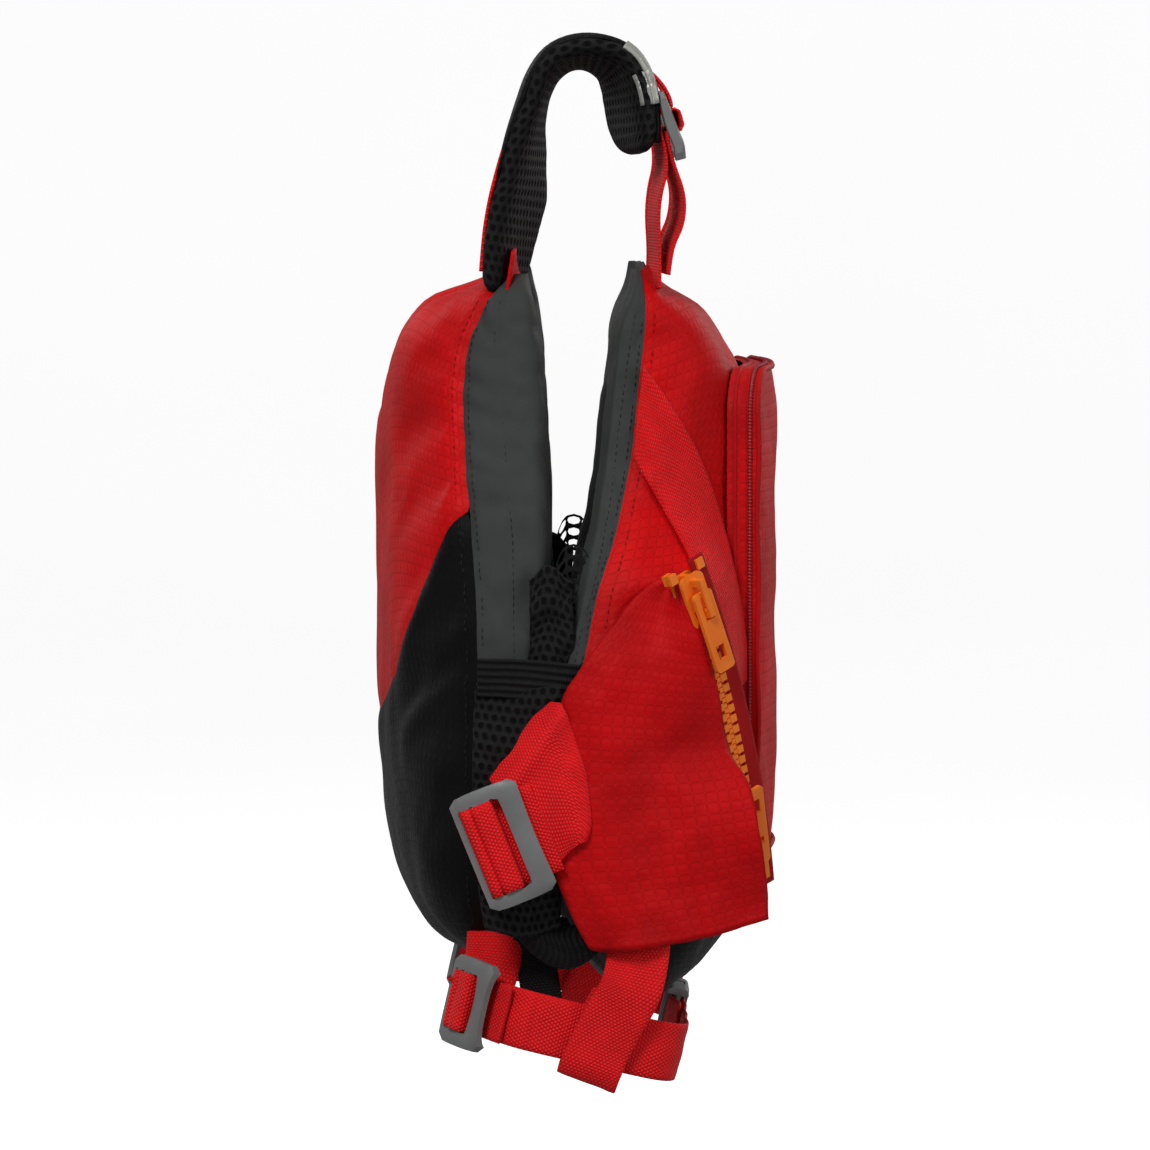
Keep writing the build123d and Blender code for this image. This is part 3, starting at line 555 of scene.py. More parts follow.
def bevel(o, width, segments=3, angle=40):
    m = o.modifiers.new("round", "BEVEL")
    m.width = width / 1000
    m.segments = segments
    m.limit_method = "ANGLE"
    m.angle_limit = math.radians(angle)
    m.harden_normals = False
    return o


def mirror_copy(o, name):
    """The same piece on the wearer's left."""
    c = o.copy()
    c.data = o.data.copy()
    c.name = name
    bpy.context.scene.collection.objects.link(c)
    c.data.transform(Matrix.Scale(-1, 4, (1, 0, 0)))
    c.data.flip_normals()
    return c


# ------------------------------------------------------------------ the two padded panels
def plan_arc(centre, radius, start, stop, count=60):
    a = np.radians(np.linspace(start, stop, count))
    return np.stack([centre[0] + radius * np.cos(a), centre[1] + radius * np.sin(a)], axis=1)


BACK = {
    "outer": np.vstack([plan_arc((0, -336.5), 422.5, 90, 75.8), plan_arc((91.83, 25.09), 49.43, 75, -12)]),
    "inner": smooth_line([(113, 14.5), (107, 24), (96, 33.2), (80, 39), (60, 42.4), (30, 45.2), (0, 46)], 60),
    "mid_out": 86.0, "mid_in": 46.0, "edge": 14.0, "half": 141.3, "way": 1,
    "depth": [(-80, 32), (-86, 36), (-89, 44), (-92, 51), (-95, 61), (-99, 68), (-106, 75), (-112, 79.5),
              (-125, 81.5), (-143, 82.5), (-164, 82.2), (-195, 82), (-230, 82), (-269, 81.4), (-291, 80.2),
              (-313, 78.6), (-334, 75.8), (-352, 70.5), (-367, 62), (-377, 52.5), (-381.5, 44)],
    "half_at": [(-86, 96), (-90, 100), (-116, 103), (-150, 112), (-190, 126), (-240, 139), (-320, 139), (-345, 132),
                (-362, 119), (-372, 103), (-381, 84)],
    "rim": [(-80, 24), (-93.6, 20), (-116.7, 16.4), (-137.7, 15.6), (-180, 14.3), (-222, 13.5), (-255, 13.5),
            (-340, 13.5), (-362, 17), (-381, 27)],
    "inside": [(-86, 28), (-92, 33), (-100, 38), (-110, 42), (-125, 46), (-350, 46), (-370, 42), (-381, 36)],
    "seam": [(-86, 31), (-95.7, 37), (-114.6, 45.5), (-137.7, 47.9), (-171, 46.2), (-192, 44.1), (-222, 42),
             (-255, 41.2), (-340, 40.5), (-365, 38), (-381, 34)],
    "fold": [(-86, 27), (-96, 31.8), (-110.4, 34.5), (-137.7, 31.5), (-171, 28.6), (-196.5, 26.2), (-255, 25.5),
             (-340, 25.5), (-381, 30.5)],
    "top": -87.0, "low": -381.0, "dip": 34.0, "dip_half": 50.0,
    "split": [(0, -277), (40, -273), (75, -259), (100, -236), (115, -214), (125, -199), (132, -188), (141, -180)],
    "rows": (30, 30), "cols": (26, 6, 4, 5, 22),
}
FRONT = {
    "outer": np.vstack([plan_arc((0, 363.14), 439.14, -90, -75.6), plan_arc((96.79, -10.95), 52.73, -74.5, 20)]),
    "inner": smooth_line([(115, 7.5), (110, -8), (98, -22), (80, -31), (60, -35), (30, -39), (0, -40)], 60),
    "mid_out": -76.0, "mid_in": -40.0, "edge": 8.0, "half": 149.5, "way": -1,
    "depth": [(-84, -31), (-88, -34), (-92.6, -39), (-97, -50), (-103.5, -58.5), (-112, -65), (-118.7, -69.5),
              (-130, -73), (-186, -74), (-300, -74), (-335, -73), (-352, -70), (-366, -64.5), (-377, -56.5),
              (-389, -48.5), (-395, -41)],
    "half_at": [(-84, 96), (-88, 100), (-140, 104), (-180, 115), (-212, 138), (-250, 147), (-340, 147), (-360, 140),
                (-377, 122), (-388, 100), (-395, 84)],
    "rim": [(-84, -26), (-91.5, -25.5), (-108, -17.8), (-146, -14.5), (-180, -10.4), (-213, -4), (-247, 3),
            (-268, 8), (-345, 8), (-362, 2), (-378, -8), (-395, -26)],
    "inside": [(-84, -28), (-92, -31), (-100, -35), (-112, -39), (-125, -40), (-372, -40), (-385, -38), (-395, -34)],
    "seam": [(-84, -28.6), (-91.5, -31), (-114.6, -29.4), (-129.3, -27.3), (-162.9, -23.9), (-196.5, -16.8),
             (-226, -6.8), (-251, 0.5), (-268, 4.5), (-345, 4.5), (-362, -2), (-378, -14), (-395, -30)],
    "fold": [(-84, -27.4), (-91.5, -28), (-108, -24), (-146, -19), (-180, -15), (-213, -8.6), (-247, 1.2),
             (-268, 6.4), (-345, 6.4), (-362, 0), (-378, -11), (-395, -28)],
    "top": -85.0, "low": -395.0, "dip": 50.0, "dip_half": 50.0,
    "split": [(0, -362), (60, -361), (110, -357), (148, -352)],
    "rows": (46, 8), "cols": (30, 4, 3, 5, 24),
}


def half_plan(spec, z):
    """Half of a panel's section at height z, from its outer middle to its inner middle, in plan."""
    depth, rim = soft_table(z, spec["depth"]), soft_table(z, spec["rim"])
    wide, inside = soft_table(z, spec["half_at"]), soft_table(z, spec["inside"])
    seam, fold = soft_table(z, spec["seam"]), soft_table(z, spec["fold"])
    out = spec["outer"].copy()
    out[:, 0] *= wide / spec["half"]
    out[:, 1] = rim + (out[:, 1] - spec["edge"]) / (spec["mid_out"] - spec["edge"]) * (depth - rim)
    inn = spec["inner"].copy()
    inn[:, 0] *= wide / spec["half"]
    inn[:, 1] = rim + (inn[:, 1] - spec["edge"]) / (spec["mid_in"] - spec["edge"]) * (inside - rim)
    s = arc_lengths(out)
    key = out[:, 1] * -spec["way"]
    order = np.argsort(key)
    at_seam = np.interp(-spec["way"] * seam, key[order], s[order])
    at_fold = np.interp(-spec["way"] * fold, key[order], s[order])
    at_seam = min(at_seam, s[-1] - 6)
    at_fold = min(max(at_fold, at_seam + 1.5), s[-1] - 2)
    c = spec["cols"]
    stops = [np.linspace(0, at_seam, c[0] + 1)[:-1], np.linspace(at_seam, at_fold, c[1] + 1)[:-1],
             np.linspace(at_fold, s[-1], c[2] + 1)]
    stops = np.concatenate(stops)
    first = np.stack([np.interp(stops, s, out[:, i]) for i in (0, 1)], axis=1)
    t = np.linspace(0, 1, c[3] + 1)[1:-1, None]
    bulge = np.sin(t * math.pi) * np.array([[0, -2.6 * spec["way"]]])
    end = out[-1] * (1 - t) + inn[0] * t + bulge
    s_in = arc_lengths(inn)
    at = np.linspace(0, s_in[-1], c[4] + 1)
    last = np.stack([np.interp(at, s_in, inn[:, i]) for i in (0, 1)], axis=1)
    return np.vstack([first, end, last])


def panel_grid(spec):
    """The panel's loops as (rows, columns, 3), with the columns of its seams and the row of its colour split."""
    zs = np.linspace(spec["top"], spec["low"], 150)
    plans = np.stack([half_plan(spec, z) for z in zs])
    half = plans.shape[1]
    ref = half_plan(spec, -240 if spec["way"] > 0 else -300)
    c = spec["cols"]
    split = np.interp(ref[:, 0], [x for x, _ in spec["split"]], [z for _, z in spec["split"]])
    rows_a, rows_b = spec["rows"]
    ease = lambda n: np.linspace(0, 1, n)
    level = np.zeros((rows_a + rows_b + 1, half))
    for k in range(half):
        level[: rows_a + 1, k] = spec["top"] + (split[k] - spec["top"]) * ease(rows_a + 1)
        level[rows_a:, k] = split[k] + (spec["low"] - split[k]) * ease(rows_b + 1)
    p = np.zeros(level.shape + (3,))
    for k in range(half):
        for i in (0, 1):
            p[:, k, i] = np.interp(-level[:, k], -zs, plans[:, k, i])
    x = p[:, :, 0]
    d = np.clip(1 - np.abs(x) / spec["dip_half"], 0, 1)
    d = smooth_step(d)
    fade = np.clip(1 - (spec["top"] - level) / 75, 0, 1)
    fade = smooth_step(fade)
    p[:, :, 2] = level - spec["dip"] * np.minimum(1, d * 1.5) * fade
    depth = soft_table(level, [(z, abs(y)) for z, y in spec["depth"]])
    thin = np.clip((spec["mid_out"] * spec["way"] - depth) / 45, 0, 1)
    p[:, :, 1] += spec["way"] * 20 * d * fade * thin
    # the closing rows draw the two faces together, so that the edge is round
    mid = c[0] + c[1] + c[2] + c[3] // 2 + 1
    for row, pull in ((0, 0.36), (1, 0.12), (-1, 0.36), (-2, 0.12)):
        near, far = p[row, : mid + 1].copy(), p[row, mid:][::-1].copy()
        at_near, at_far = arc_lengths(near), arc_lengths(far)
        at_near, at_far = at_near / at_near[-1], at_far / at_far[-1]
        for i in range(3):
            p[row, : mid + 1, i] += pull * (np.interp(at_near, at_far, far[:, i]) - near[:, i])
            p[row, mid + 1 :, i] += (pull * (np.interp(at_far, at_near, near[:, i]) - far[:, i]))[::-1][1:]
        p[row, :, 2] += math.copysign(1.5, 0.5 + row) * (pull > 0.3)
    right = p * np.array([-1, 1, 1])
    left = p[:, ::-1][:, 1:-1]
    return np.concatenate([right, left], axis=1), half, mid


def panel_faces(rows, cols, half, mid, spec):
    """Quads round the loops and over their ends, with a colour number each: 0 upper body, 1 lower, 2 lining."""
    body = spec["cols"][0]
    faces, kinds = [], []
    for i in range(rows - 1):
        for j in range(cols):
            a, b = i * cols + j, i * cols + (j + 1) % cols
            faces.append((a, b, b + cols, a + cols))
            k = j if j < half - 1 else cols - 1 - j
            kinds.append(2 if k >= body else (0 if i < spec["rows"][0] else 1))
    near, far = list(range(mid + 1)), list(range(half - 1, mid - 1, -1))
    for row, kind in ((0, 2), (rows - 1, 1)):
        for mirrored in (False, True):
            i = j = 0
            while i < len(near) - 1 or j < len(far) - 1:
                ti, tj = i / (len(near) - 1), j / (len(far) - 1)
                step_i = i < len(near) - 1 and ti <= tj + 1e-9
                step_j = j < len(far) - 1 and tj <= ti + 1e-9
                ks = [near[i]] + ([near[i + 1]] if step_i else []) + ([far[j + 1]] if step_j else []) + [far[j]]
                i, j = i + step_i, j + step_j
                ks = list(dict.fromkeys(ks))
                if len(ks) > 2:
                    faces.append([row * cols + ((cols - k) % cols if mirrored else k) for k in ks])
                    kinds.append(kind)
    return faces, kinds


def swell(o, pinned, cap, pressure=4.0, slack=0.03, steps=16):
    """Lets the cover billow over its filling: cloth with pressure inside, held at its seams."""
    group = o.vertex_groups.new(name="held")
    group.add([int(i) for i in pinned], 1.0, "REPLACE")
    m = o.modifiers.new("cloth", "CLOTH")
    c = m.settings
    c.use_pressure = True
    c.uniform_pressure_force = pressure
    c.effector_weights.gravity = 0
    c.vertex_group_mass = "held"
    c.pin_stiffness = 1
    c.mass = 0.25
    c.shrink_min = -slack
    c.bending_stiffness = 0.3
    c.tension_stiffness = 12
    c.compression_stiffness = 12
    c.shear_stiffness = 4
    c.quality = 5
    m.collision_settings.use_collision = False
    m.point_cache.frame_start = 1
    m.point_cache.frame_end = steps
    for f in range(1, steps + 1):
        bpy.context.scene.frame_set(f)
    ev = o.evaluated_get(bpy.context.evaluated_depsgraph_get())
    me = ev.to_mesh()
    count = len(o.data.vertices)
    new, old = np.zeros(count * 3), np.zeros(count * 3)
    me.vertices.foreach_get("co", new)
    ev.to_mesh_clear()
    o.data.vertices.foreach_get("co", old)
    move = (new - old).reshape(-1, 3)
    length = np.linalg.norm(move, axis=1, keepdims=True)
    limit = cap / 1000
    move *= np.tanh(length / limit) * limit / np.maximum(length, 1e-9)
    o.modifiers.remove(m)
    o.data.vertices.foreach_set("co", (old.reshape(-1, 3) + move).ravel())
    o.data.update()
    o.vertex_groups.clear()
    bpy.context.scene.frame_set(1)


def build_panel(spec, names, mats, slots, seed):
    """A panel's covers as one closed mesh, let billow, then cut into its colours. Returns the objects and the grid."""
    loops, half, mid = panel_grid(spec)
    rows, cols, _ = loops.shape
    c = spec["cols"]
    ring = np.concatenate([loops[:, -1:], loops, loops[:, :1]], axis=1)
    n = unit(np.cross(np.gradient(ring, axis=1), np.gradient(ring, axis=0)))[:, 1:-1]
    n *= math.copysign(1, n[rows // 2, 0, 1] * spec["way"])
    k_of = np.array([j if j < half else cols - j for j in range(cols)])
    seam, fold, corner = c[0], c[0] + c[1], c[0] + c[1] + c[2]
    s = arc_lengths(loops[rows // 2, :half])
    to_seam = np.abs(s[k_of] - s[seam])
    to_row = np.abs(np.arange(rows) - spec["rows"][0])[:, None] * 5.0
    soft = rumple(loops, 0.016, seed, 2) * 1.7 + rumple(loops * np.array([1, 1, 0.4]), 0.045, seed + 3, 3) * 1.3
    soft[:, k_of >= seam] *= 0.45
    along = np.cumsum(np.linalg.norm(np.gradient(loops, axis=0), axis=2), axis=0)
    pucker = np.exp(-to_seam / 9)[None] * np.sin(along / 2.1 + 2.0 * rumple(loops, 0.05, seed + 5, 2))
    pucker = pucker + np.exp(-to_row / 9) * np.sin(s[k_of][None] / 2.3 + 2.0 * rumple(loops, 0.05, seed + 6, 2))
    loops = loops + n * (soft + 0.55 * pucker)[..., None]
    groove = [seam, cols - seam, fold, cols - fold]
    loops[:, groove] -= n[:, groove] * 0.9
    loops[spec["rows"][0]] -= n[spec["rows"][0]] * 0.8
    faces, kinds = panel_faces(rows, cols, half, mid, spec)
    o = fix_normals(mesh_object(names[0] + "_all", loops.reshape(-1, 3), faces, mats[0]))
    held = [r * cols + j for r in (0, 1, rows - 2, rows - 1) for j in range(cols)]
    for k in (seam, fold, corner, mid):
        held += [r * cols + j for r in range(rows) for j in (k, cols - k)]
    swell(o, held, 4.5)
    co = np.zeros(len(o.data.vertices) * 3)
    o.data.vertices.foreach_get("co", co)
    co = co.reshape(-1, 3) * 1000
    sign = np.where(np.arange(cols) < half, 1, -1)
    u_out, u_in = s[k_of] * sign, (s[k_of] - s[half - 1]) * sign
    v = np.stack([arc_lengths(loops[:, j]) for j in range(cols)], axis=1)
    pieces = []
    for kind, (name, mat, slot) in enumerate(zip(names, mats, slots)):
        used, polys, uvs = {}, [], []
        for poly, k in zip(o.data.polygons, kinds):
            if k != kind:
                continue
            polys.append([used.setdefault(i, len(used)) for i in poly.vertices])
            for i in poly.vertices:
                r, j = divmod(i, cols)
                uvs.append(((u_in if kind == 2 else u_out)[j] / 1000, -v[r, j] / 1000))
        piece = mesh_object(name, [co[i] for i in used], polys, mat)
        layer = piece.data.uv_layers.new(name="cloth")
        layer.data.foreach_set("uv", np.asarray(uvs, np.float32).ravel())
        subdivide(piece, 1)
        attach(piece, "vest")
        pieces.append(piece)
    grid = co.reshape(rows, cols, 3)
    bpy.data.objects.remove(o)
    return pieces, grid, n


back_pieces, back_grid, back_out = build_panel(
    BACK, ("back_cover_upper", "back_cover_lower", "back_cover_lining"), ("red", "black", "grey"),
    ("red_ripstop", "black_ripstop", "grey_lining"), 1)
front_pieces, front_grid, front_out = build_panel(
    FRONT, ("front_cover", "front_cover_hem", "front_cover_lining"), ("red", "black", "grey"),
    ("red_ripstop", "black_ripstop", "grey_lining"), 11)
for piece, nodes in zip(back_pieces + front_pieces,
                        (("back_shell_upper", "back_foam"), ("back_shell_lower",), ("back_lining",),
                         ("front_shell", "front_foam"), ("front_hem_panel",), ("front_lining",))):
    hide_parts(*nodes)


def seam_rows(tag, spec, grid, out):
    """Stitching beside each seam and along each fold of a panel."""
    cols, c = grid.shape[1], spec["cols"]
    rows = []
    top, split = 3, spec["rows"][0]
    low = len(grid) - 3
    for k, mat, a, b in ((c[0] + c[1], "thread_grey", top, low), (c[0] - 1, "thread_red", top, split),
                         (c[0] - 1, "thread_grey", split, low), (c[0] + 1, "thread_grey", top, low)):
        for j in (k, cols - k):
            rows.append(stitches(f"{tag}_{k}_{j}", grid[a:b, j], out[a:b, j], mat,
                                 length=2.0, gap=1.3, r=0.22, lift=0.1))
    o = join(tag + "_seam_rows", *rows)
    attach(o, "vest")


seam_rows("back", BACK, back_grid, back_out)
seam_rows("front", FRONT, front_grid, front_out)


# ------------------------------------------------------------------ laying cloth on the front panel
def tree_of(*objects):
    """A tree of the named pieces' surfaces, in millimetres."""
    verts, polys = [], []
    for o in objects:
        base = len(verts)
        verts += [Vector(v.co) * 1000 for v in o.data.vertices]
        polys += [[base + i for i in poly.vertices] for poly in o.data.polygons]
    return BVHTree.FromPolygons(verts, polys)


front_tree = tree_of(*front_pieces)


def on_skin(yz, lift, blur=2, tree=front_tree, fallback=-118.0):
    """Puts a grid of (Y, Z) points on the wearer's right face of the panel, lift outside it."""
    rows, cols, _ = yz.shape
    x = np.full((rows, cols), np.nan)
    for r in range(rows):
        for c in range(cols):
            hit = tree.ray_cast(Vector((-400, *yz[r, c])), Vector((1, 0, 0)))[0]
            if hit is not None:
                x[r, c] = hit.x
    for axis in (1, 0):
        for line in (x if axis else x.T):
            bad = np.isnan(line)
            if bad.any() and not bad.all():
                line[bad] = np.interp(np.flatnonzero(bad), np.flatnonzero(~bad), line[~bad])
    x = np.nan_to_num(x, nan=fallback)
    low = x.copy()
    for _ in range(blur):
        wide = np.pad(x, 1, mode="edge")
        x = (wide[:-2, 1:-1] + wide[2:, 1:-1] + wide[1:-1, :-2] + wide[1:-1, 2:] + 2 * x) / 6
    x = np.minimum(x, low + 0.4)
    return np.concatenate([(x - lift)[..., None], yz], axis=2)


def coons(top, bottom, left, right, rows, cols):
    """A grid filled in between four edges; top and bottom run left to right, the sides run down."""
    t, b = smooth_line(top, cols), smooth_line(bottom, cols)
    le, r = smooth_line(left, rows), smooth_line(right, rows)
    u = np.linspace(0, 1, cols)[None, :, None]
    v = np.linspace(0, 1, rows)[:, None, None]
    g = (1 - v) * t[None] + v * b[None] + (1 - u) * le[:, None] + u * r[:, None]
    return g - ((1 - u) * (1 - v) * t[0] + u * (1 - v) * t[-1] + (1 - u) * v * b[0] + u * v * b[-1])


# the frame of the main zip: an arc that leans across the vest's right front corner
ZIP_CENTRE = np.array([169.3703615, 339.0807909, -265.0527421])
ZIP_RADIUS = 499.2213594
ZIP_LONG = 145.45
zip_ends = np.array([[-143.7, -46, -211], [-97, -75.5, -345]])
zip_out = unit(np.array([-123.5, -65, -278]) - ZIP_CENTRE)
zip_across = unit(np.cross(zip_out, unit(zip_ends[1] - zip_ends[0])))


def turned(v, axis, angle):
    return (v * math.cos(angle) + np.cross(axis, v) * math.sin(angle)
            + axis * np.dot(axis, v) * (1 - math.cos(angle)))


def zip_frame(s):
    """Origin, across, out and along of the chain at s mm from its top."""
    out = turned(zip_out, zip_across, s / ZIP_RADIUS - ZIP_LONG / ZIP_RADIUS / 2)
    along = np.cross(zip_across, out)
    across = turned(zip_across, along, math.radians(10))
    return ZIP_CENTRE + out * ZIP_RADIUS, across, np.cross(along, across), along


def zip_point(s, x, y):
    o, across, out, _ = zip_frame(s)
    return o + across * x + out * y


# ------------------------------------------------------------------ side wings
REAR = [(-39.1, -213.3), (-29.4, -217.5), (-14.7, -234.3), (-2.1, -251.1), (5.0, -263.7), (8, -288.9),
        (9.7, -314.1), (8.4, -334.3), (1.3, -353.2), (-6.3, -368.0)]
HEM = [(-6.3, -368.0), (-10.5, -369.0), (-25, -368.2), (-40, -366.5), (-58, -363.5), (-81.0, -358)]
FRONT_EDGE = [(-44.1, -215.4), (-51, -230.1), (-55.4, -244.8), (-59.3, -259.5), (-64.8, -287.5), (-73.0, -300.5),
              (-79.6, -335.1), (-81.0, -358)]


def wing_grid(zipped):
    rows, cols = 60, 44
    yz = coons([REAR[0], (-41.6, -213.6), FRONT_EDGE[0]], HEM, REAR, FRONT_EDGE, rows, cols)
    if not zipped:
        # without the zip it ends sooner, on the panel's side
        yz[:, :, 0] = np.where(yz[:, :, 0] < -40, -40 + (yz[:, :, 0] + 40) * 0.63, yz[:, :, 0])
    g = on_skin(yz, 3.2, 8)
    x = g[:, :, 0]
    # behind the panel's rim the cloth goes on flat
    rim = np.clip((yz[:, :, 0] + 2) / 10, 0, 1)
    x += (np.minimum(x, -146.5) - x) * rim * (yz[:, :, 1] < -225)
    # low down it hangs free, and doesn't follow the panel inwards
    hang = np.clip((-yz[:, :, 1] - 290) / 30, 0, 1)
    if not zipped:
        hang = hang * np.clip((yz[:, :, 0] + 66) / 34, 0, 1)
    x += (np.minimum.accumulate(x, axis=0) - x) * hang
    if zipped:
        edge = np.array([zip_point(s, -4.6, 1.5) for s in np.linspace(2, 146, 60)])
        want = np.interp(-yz[:, -1, 1], -edge[:, 2], edge[:, 0])
        want -= 24 * np.clip((-yz[:, -1, 1] - 285) / 34, 0, 1) ** 0.75
        u = np.clip((np.linspace(0, 1, cols) - 0.35) / 0.65, 0, 1)
        x += (want - x[:, -1])[:, None] * smooth_step(u)[None]
        # from there down it spans straight from the panel's side to its front edge
        free = np.clip((-yz[:, :, 1] - 272) / 18, 0, 1) * (np.arange(cols) > 16)
        span = np.clip((np.arange(cols) - 16) / (cols - 17), 0, 1)
        x += (x[:, 16:17] + (want[:, None] - x[:, 16:17]) * span - x) * free
    for _ in range(14):
        x[1:-1, 1:-1] = (x[:-2, 1:-1] + x[2:, 1:-1] + x[1:-1, :-2] + x[1:-1, 2:] + x[1:-1, 1:-1]) / 5
    v = np.linspace(0, 1, rows)[:, None]
    u = np.linspace(0, 1, cols)[None]
    fold = np.sin(u * 17 + 2.5 * v + 1.2) * np.exp(-(1 - v) / 0.10) * 1.0
    fold = fold + np.exp(-(((u - 0.52 - 0.1 * v) / 0.05) ** 2)) * np.exp(-(1 - v) / 0.2) * -2.4
    g[:, :, 0] -= fold * np.clip(u * 5, 0, 1) * np.clip((1 - u) * 6, 0, 1)
    g[:, :, 0] -= (rumple(g, 0.03, 21, 3) * 1.1 + rumple(g * np.array([0.4, 1, 1]), 0.075, 23, 2) * 0.8)
    g[:, :, 0] += 0.7 * np.exp(-u / 0.03) + 0.5 * np.exp(-(1 - u) / 0.03)
    return g


def edge_inset(g, inset, side):
    """A line in a grid, inset mm in from one of its sides."""
    line = []
    flat = {"left": g, "right": g[:, ::-1], "bottom": g[::-1].transpose(1, 0, 2), "top": g.transpose(1, 0, 2)}[side]
    for row in flat:
        s = arc_lengths(row)
        line.append([np.interp(inset, s, row[:, i]) for i in range(3)])
    return np.array(line)


def wing(name, zipped):
    g = wing_grid(zipped)
    o = fix_normals(slab(name, g, "red_dark", 1.5, out=1))
    rows = []
    for k, (inset, side) in enumerate(((2.2, "left"), (5.6, "left"), (2.4, "right"), (5.6, "right"), (3.4, "bottom"))):
        line = edge_inset(g, inset, side)
        rows.append(stitches(f"{name}_row_{k}", line, (-1, 0, 0), "thread_red", lift=0.15))
    dart = g[24:, 22]
    rows.append(stitches(f"{name}_dart", dart, (-1, 0, 0), "thread_red", lift=0.1))
    return o, join(name + "_stitching", *rows), grid_size(g, 40, 20), grid_area(g)


wing_right, wing_right_rows, wing_flat, wing_area = wing("side_wing_cloth_right", True)
wing_left_base, wing_left_rows_base, left_flat, left_area = wing("wing_left_base", False)
wing_left = mirror_copy(wing_left_base, "side_wing_cloth_left")
wing_left_rows = mirror_copy(wing_left_rows_base, "side_wing_cloth_left_stitching")
for extra in (wing_left_base, wing_left_rows_base):
    bpy.data.objects.remove(extra)
for o, rows_o, side, flat, area_m in ((wing_right, wing_right_rows, "right", wing_flat, wing_area),
                                      (wing_left, wing_left_rows, "left", left_flat, left_area)):
    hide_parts("side_wing_" + side)
    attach(o, "vest")
    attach(rows_o, "vest")


# ------------------------------------------------------------------ harness tape under the wings
def two(o, nodes):
    """Makes the mirror image of a right-hand piece, and hides the CAD parts of each side's nodes."""
    base = o.name
    o.name = base + "_right"
    other = mirror_copy(o, base + "_left")
    for piece, side in ((o, "right"), (other, "left")):
        for node in nodes:
            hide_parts(f"{node}_{side}")
    return o, other


def on_both(o, nodes):
    """A right-hand piece and its mirror image that ride on the vest."""
    pair = two(o, nodes)
    for piece in pair:
        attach(piece, "vest")
    return pair


tape_yz = coons([(-24.5, -163), (-26.5, -143), (-28.8, -124)], [(-68, -262), (-74, -258)],
                [(-24.5, -163), (-36, -183), (-48, -205), (-59, -233), (-68, -262)],
                [(-28.8, -124), (-41, -142), (-53, -165), (-62, -192), (-69, -223), (-74, -258)], 70, 16)
tape_g = on_skin(tape_yz, 2.3, 6)
tape = fix_normals(slab("harness", tape_g, "webbing", 1.5))
TAPE_ROWS = ((2.5, "left"), (5.5, "left"), (8.5, "left"), (2.5, "right"), (5.5, "right"))
tape_rows = [stitches(f"tape_row_{k}", edge_inset(tape_g, inset, side), (-1, 0, 0), lift=0.2)
             for k, (inset, side) in enumerate(TAPE_ROWS)]
tape_all = join("harness", tape, *tape_rows)
on_both(tape_all, ("harness_tape",))


# ------------------------------------------------------------------ front pocket
POCKET_X, POCKET_TOP, POCKET_LOW, POCKET_R = 84.0, -127.0, -334.0, 20.0
POCKET_MID = (POCKET_TOP + POCKET_LOW) / 2
POCKET_Z = (POCKET_TOP - POCKET_LOW) / 2


def pocket_line(grow, count=300):
    """The pocket's outline in front view, grown, starting at the middle of its hem."""
    hx, hz, r = POCKET_X + grow, POCKET_Z + grow, POCKET_R + grow
    pts = [(0, -hz)]
    for sx, sz, start in ((1, -1, -90), (1, 1, 0), (-1, 1, 90), (-1, -1, 180)):
        for a in np.radians(np.linspace(start, start + 90, 12)):
            pts.append((sx * (hx - r) + r * math.cos(a), sz * (hz - r) + r * math.sin(a)))
    pts.append((0, -hz))
    p = np.array(pts)
    s = arc_lengths(p)
    at = np.linspace(0, s[-1], count, endpoint=False)
    return np.stack([np.interp(at, s, p[:, 0]), np.interp(at, s, p[:, 1]) + POCKET_MID], axis=1)


def front_arc(x, depth):
    """Y of the front panel's face at x, depth outside it."""
    return 363.14 - np.sqrt((439.14 + depth) ** 2 - np.asarray(x) ** 2)


def pocket_ring(grow, depth):
    """A ring round the pocket, grow outside its outline and depth outside the panel's face."""
    p = pocket_line(grow, 300)
    sag = 1.4 * np.sin(p[:, 1] * 0.11 + p[:, 0] * 0.07) * np.exp(-((depth - 8) / 6) ** 2)
    return np.stack([p[:, 0], front_arc(p[:, 0], depth + 0.3 * sag), p[:, 1]], axis=1)


def band(name, rings, mat):
    """A closed band of cloth through several rings."""
    rings = np.asarray(rings)
    rows, cols, _ = rings.shape
    s = np.append(arc_lengths(rings[0]), arc_lengths(rings[0])[-1] + 2.0)
    across = np.concatenate([[0], np.cumsum(np.linalg.norm(np.diff(rings[:, 0], axis=0), axis=1))])
    verts = rings.reshape(-1, 3)
    faces = grid_faces(rows, cols, wrap=True)
    o = mesh_object(name, verts, faces, mat)
    layer = o.data.uv_layers.new(name="cloth")
    uvs = []
    for poly in o.data.polygons:
        last = any(i % cols == 0 for i in poly.vertices) and any(i % cols == cols - 1 for i in poly.vertices)
        for i in poly.vertices:
            r, c = divmod(i, cols)
            uvs.append((across[r] / 1000, s[c if c or not last else cols] / 1000))
    layer.data.foreach_set("uv", np.asarray(uvs, np.float32).ravel())
    return o


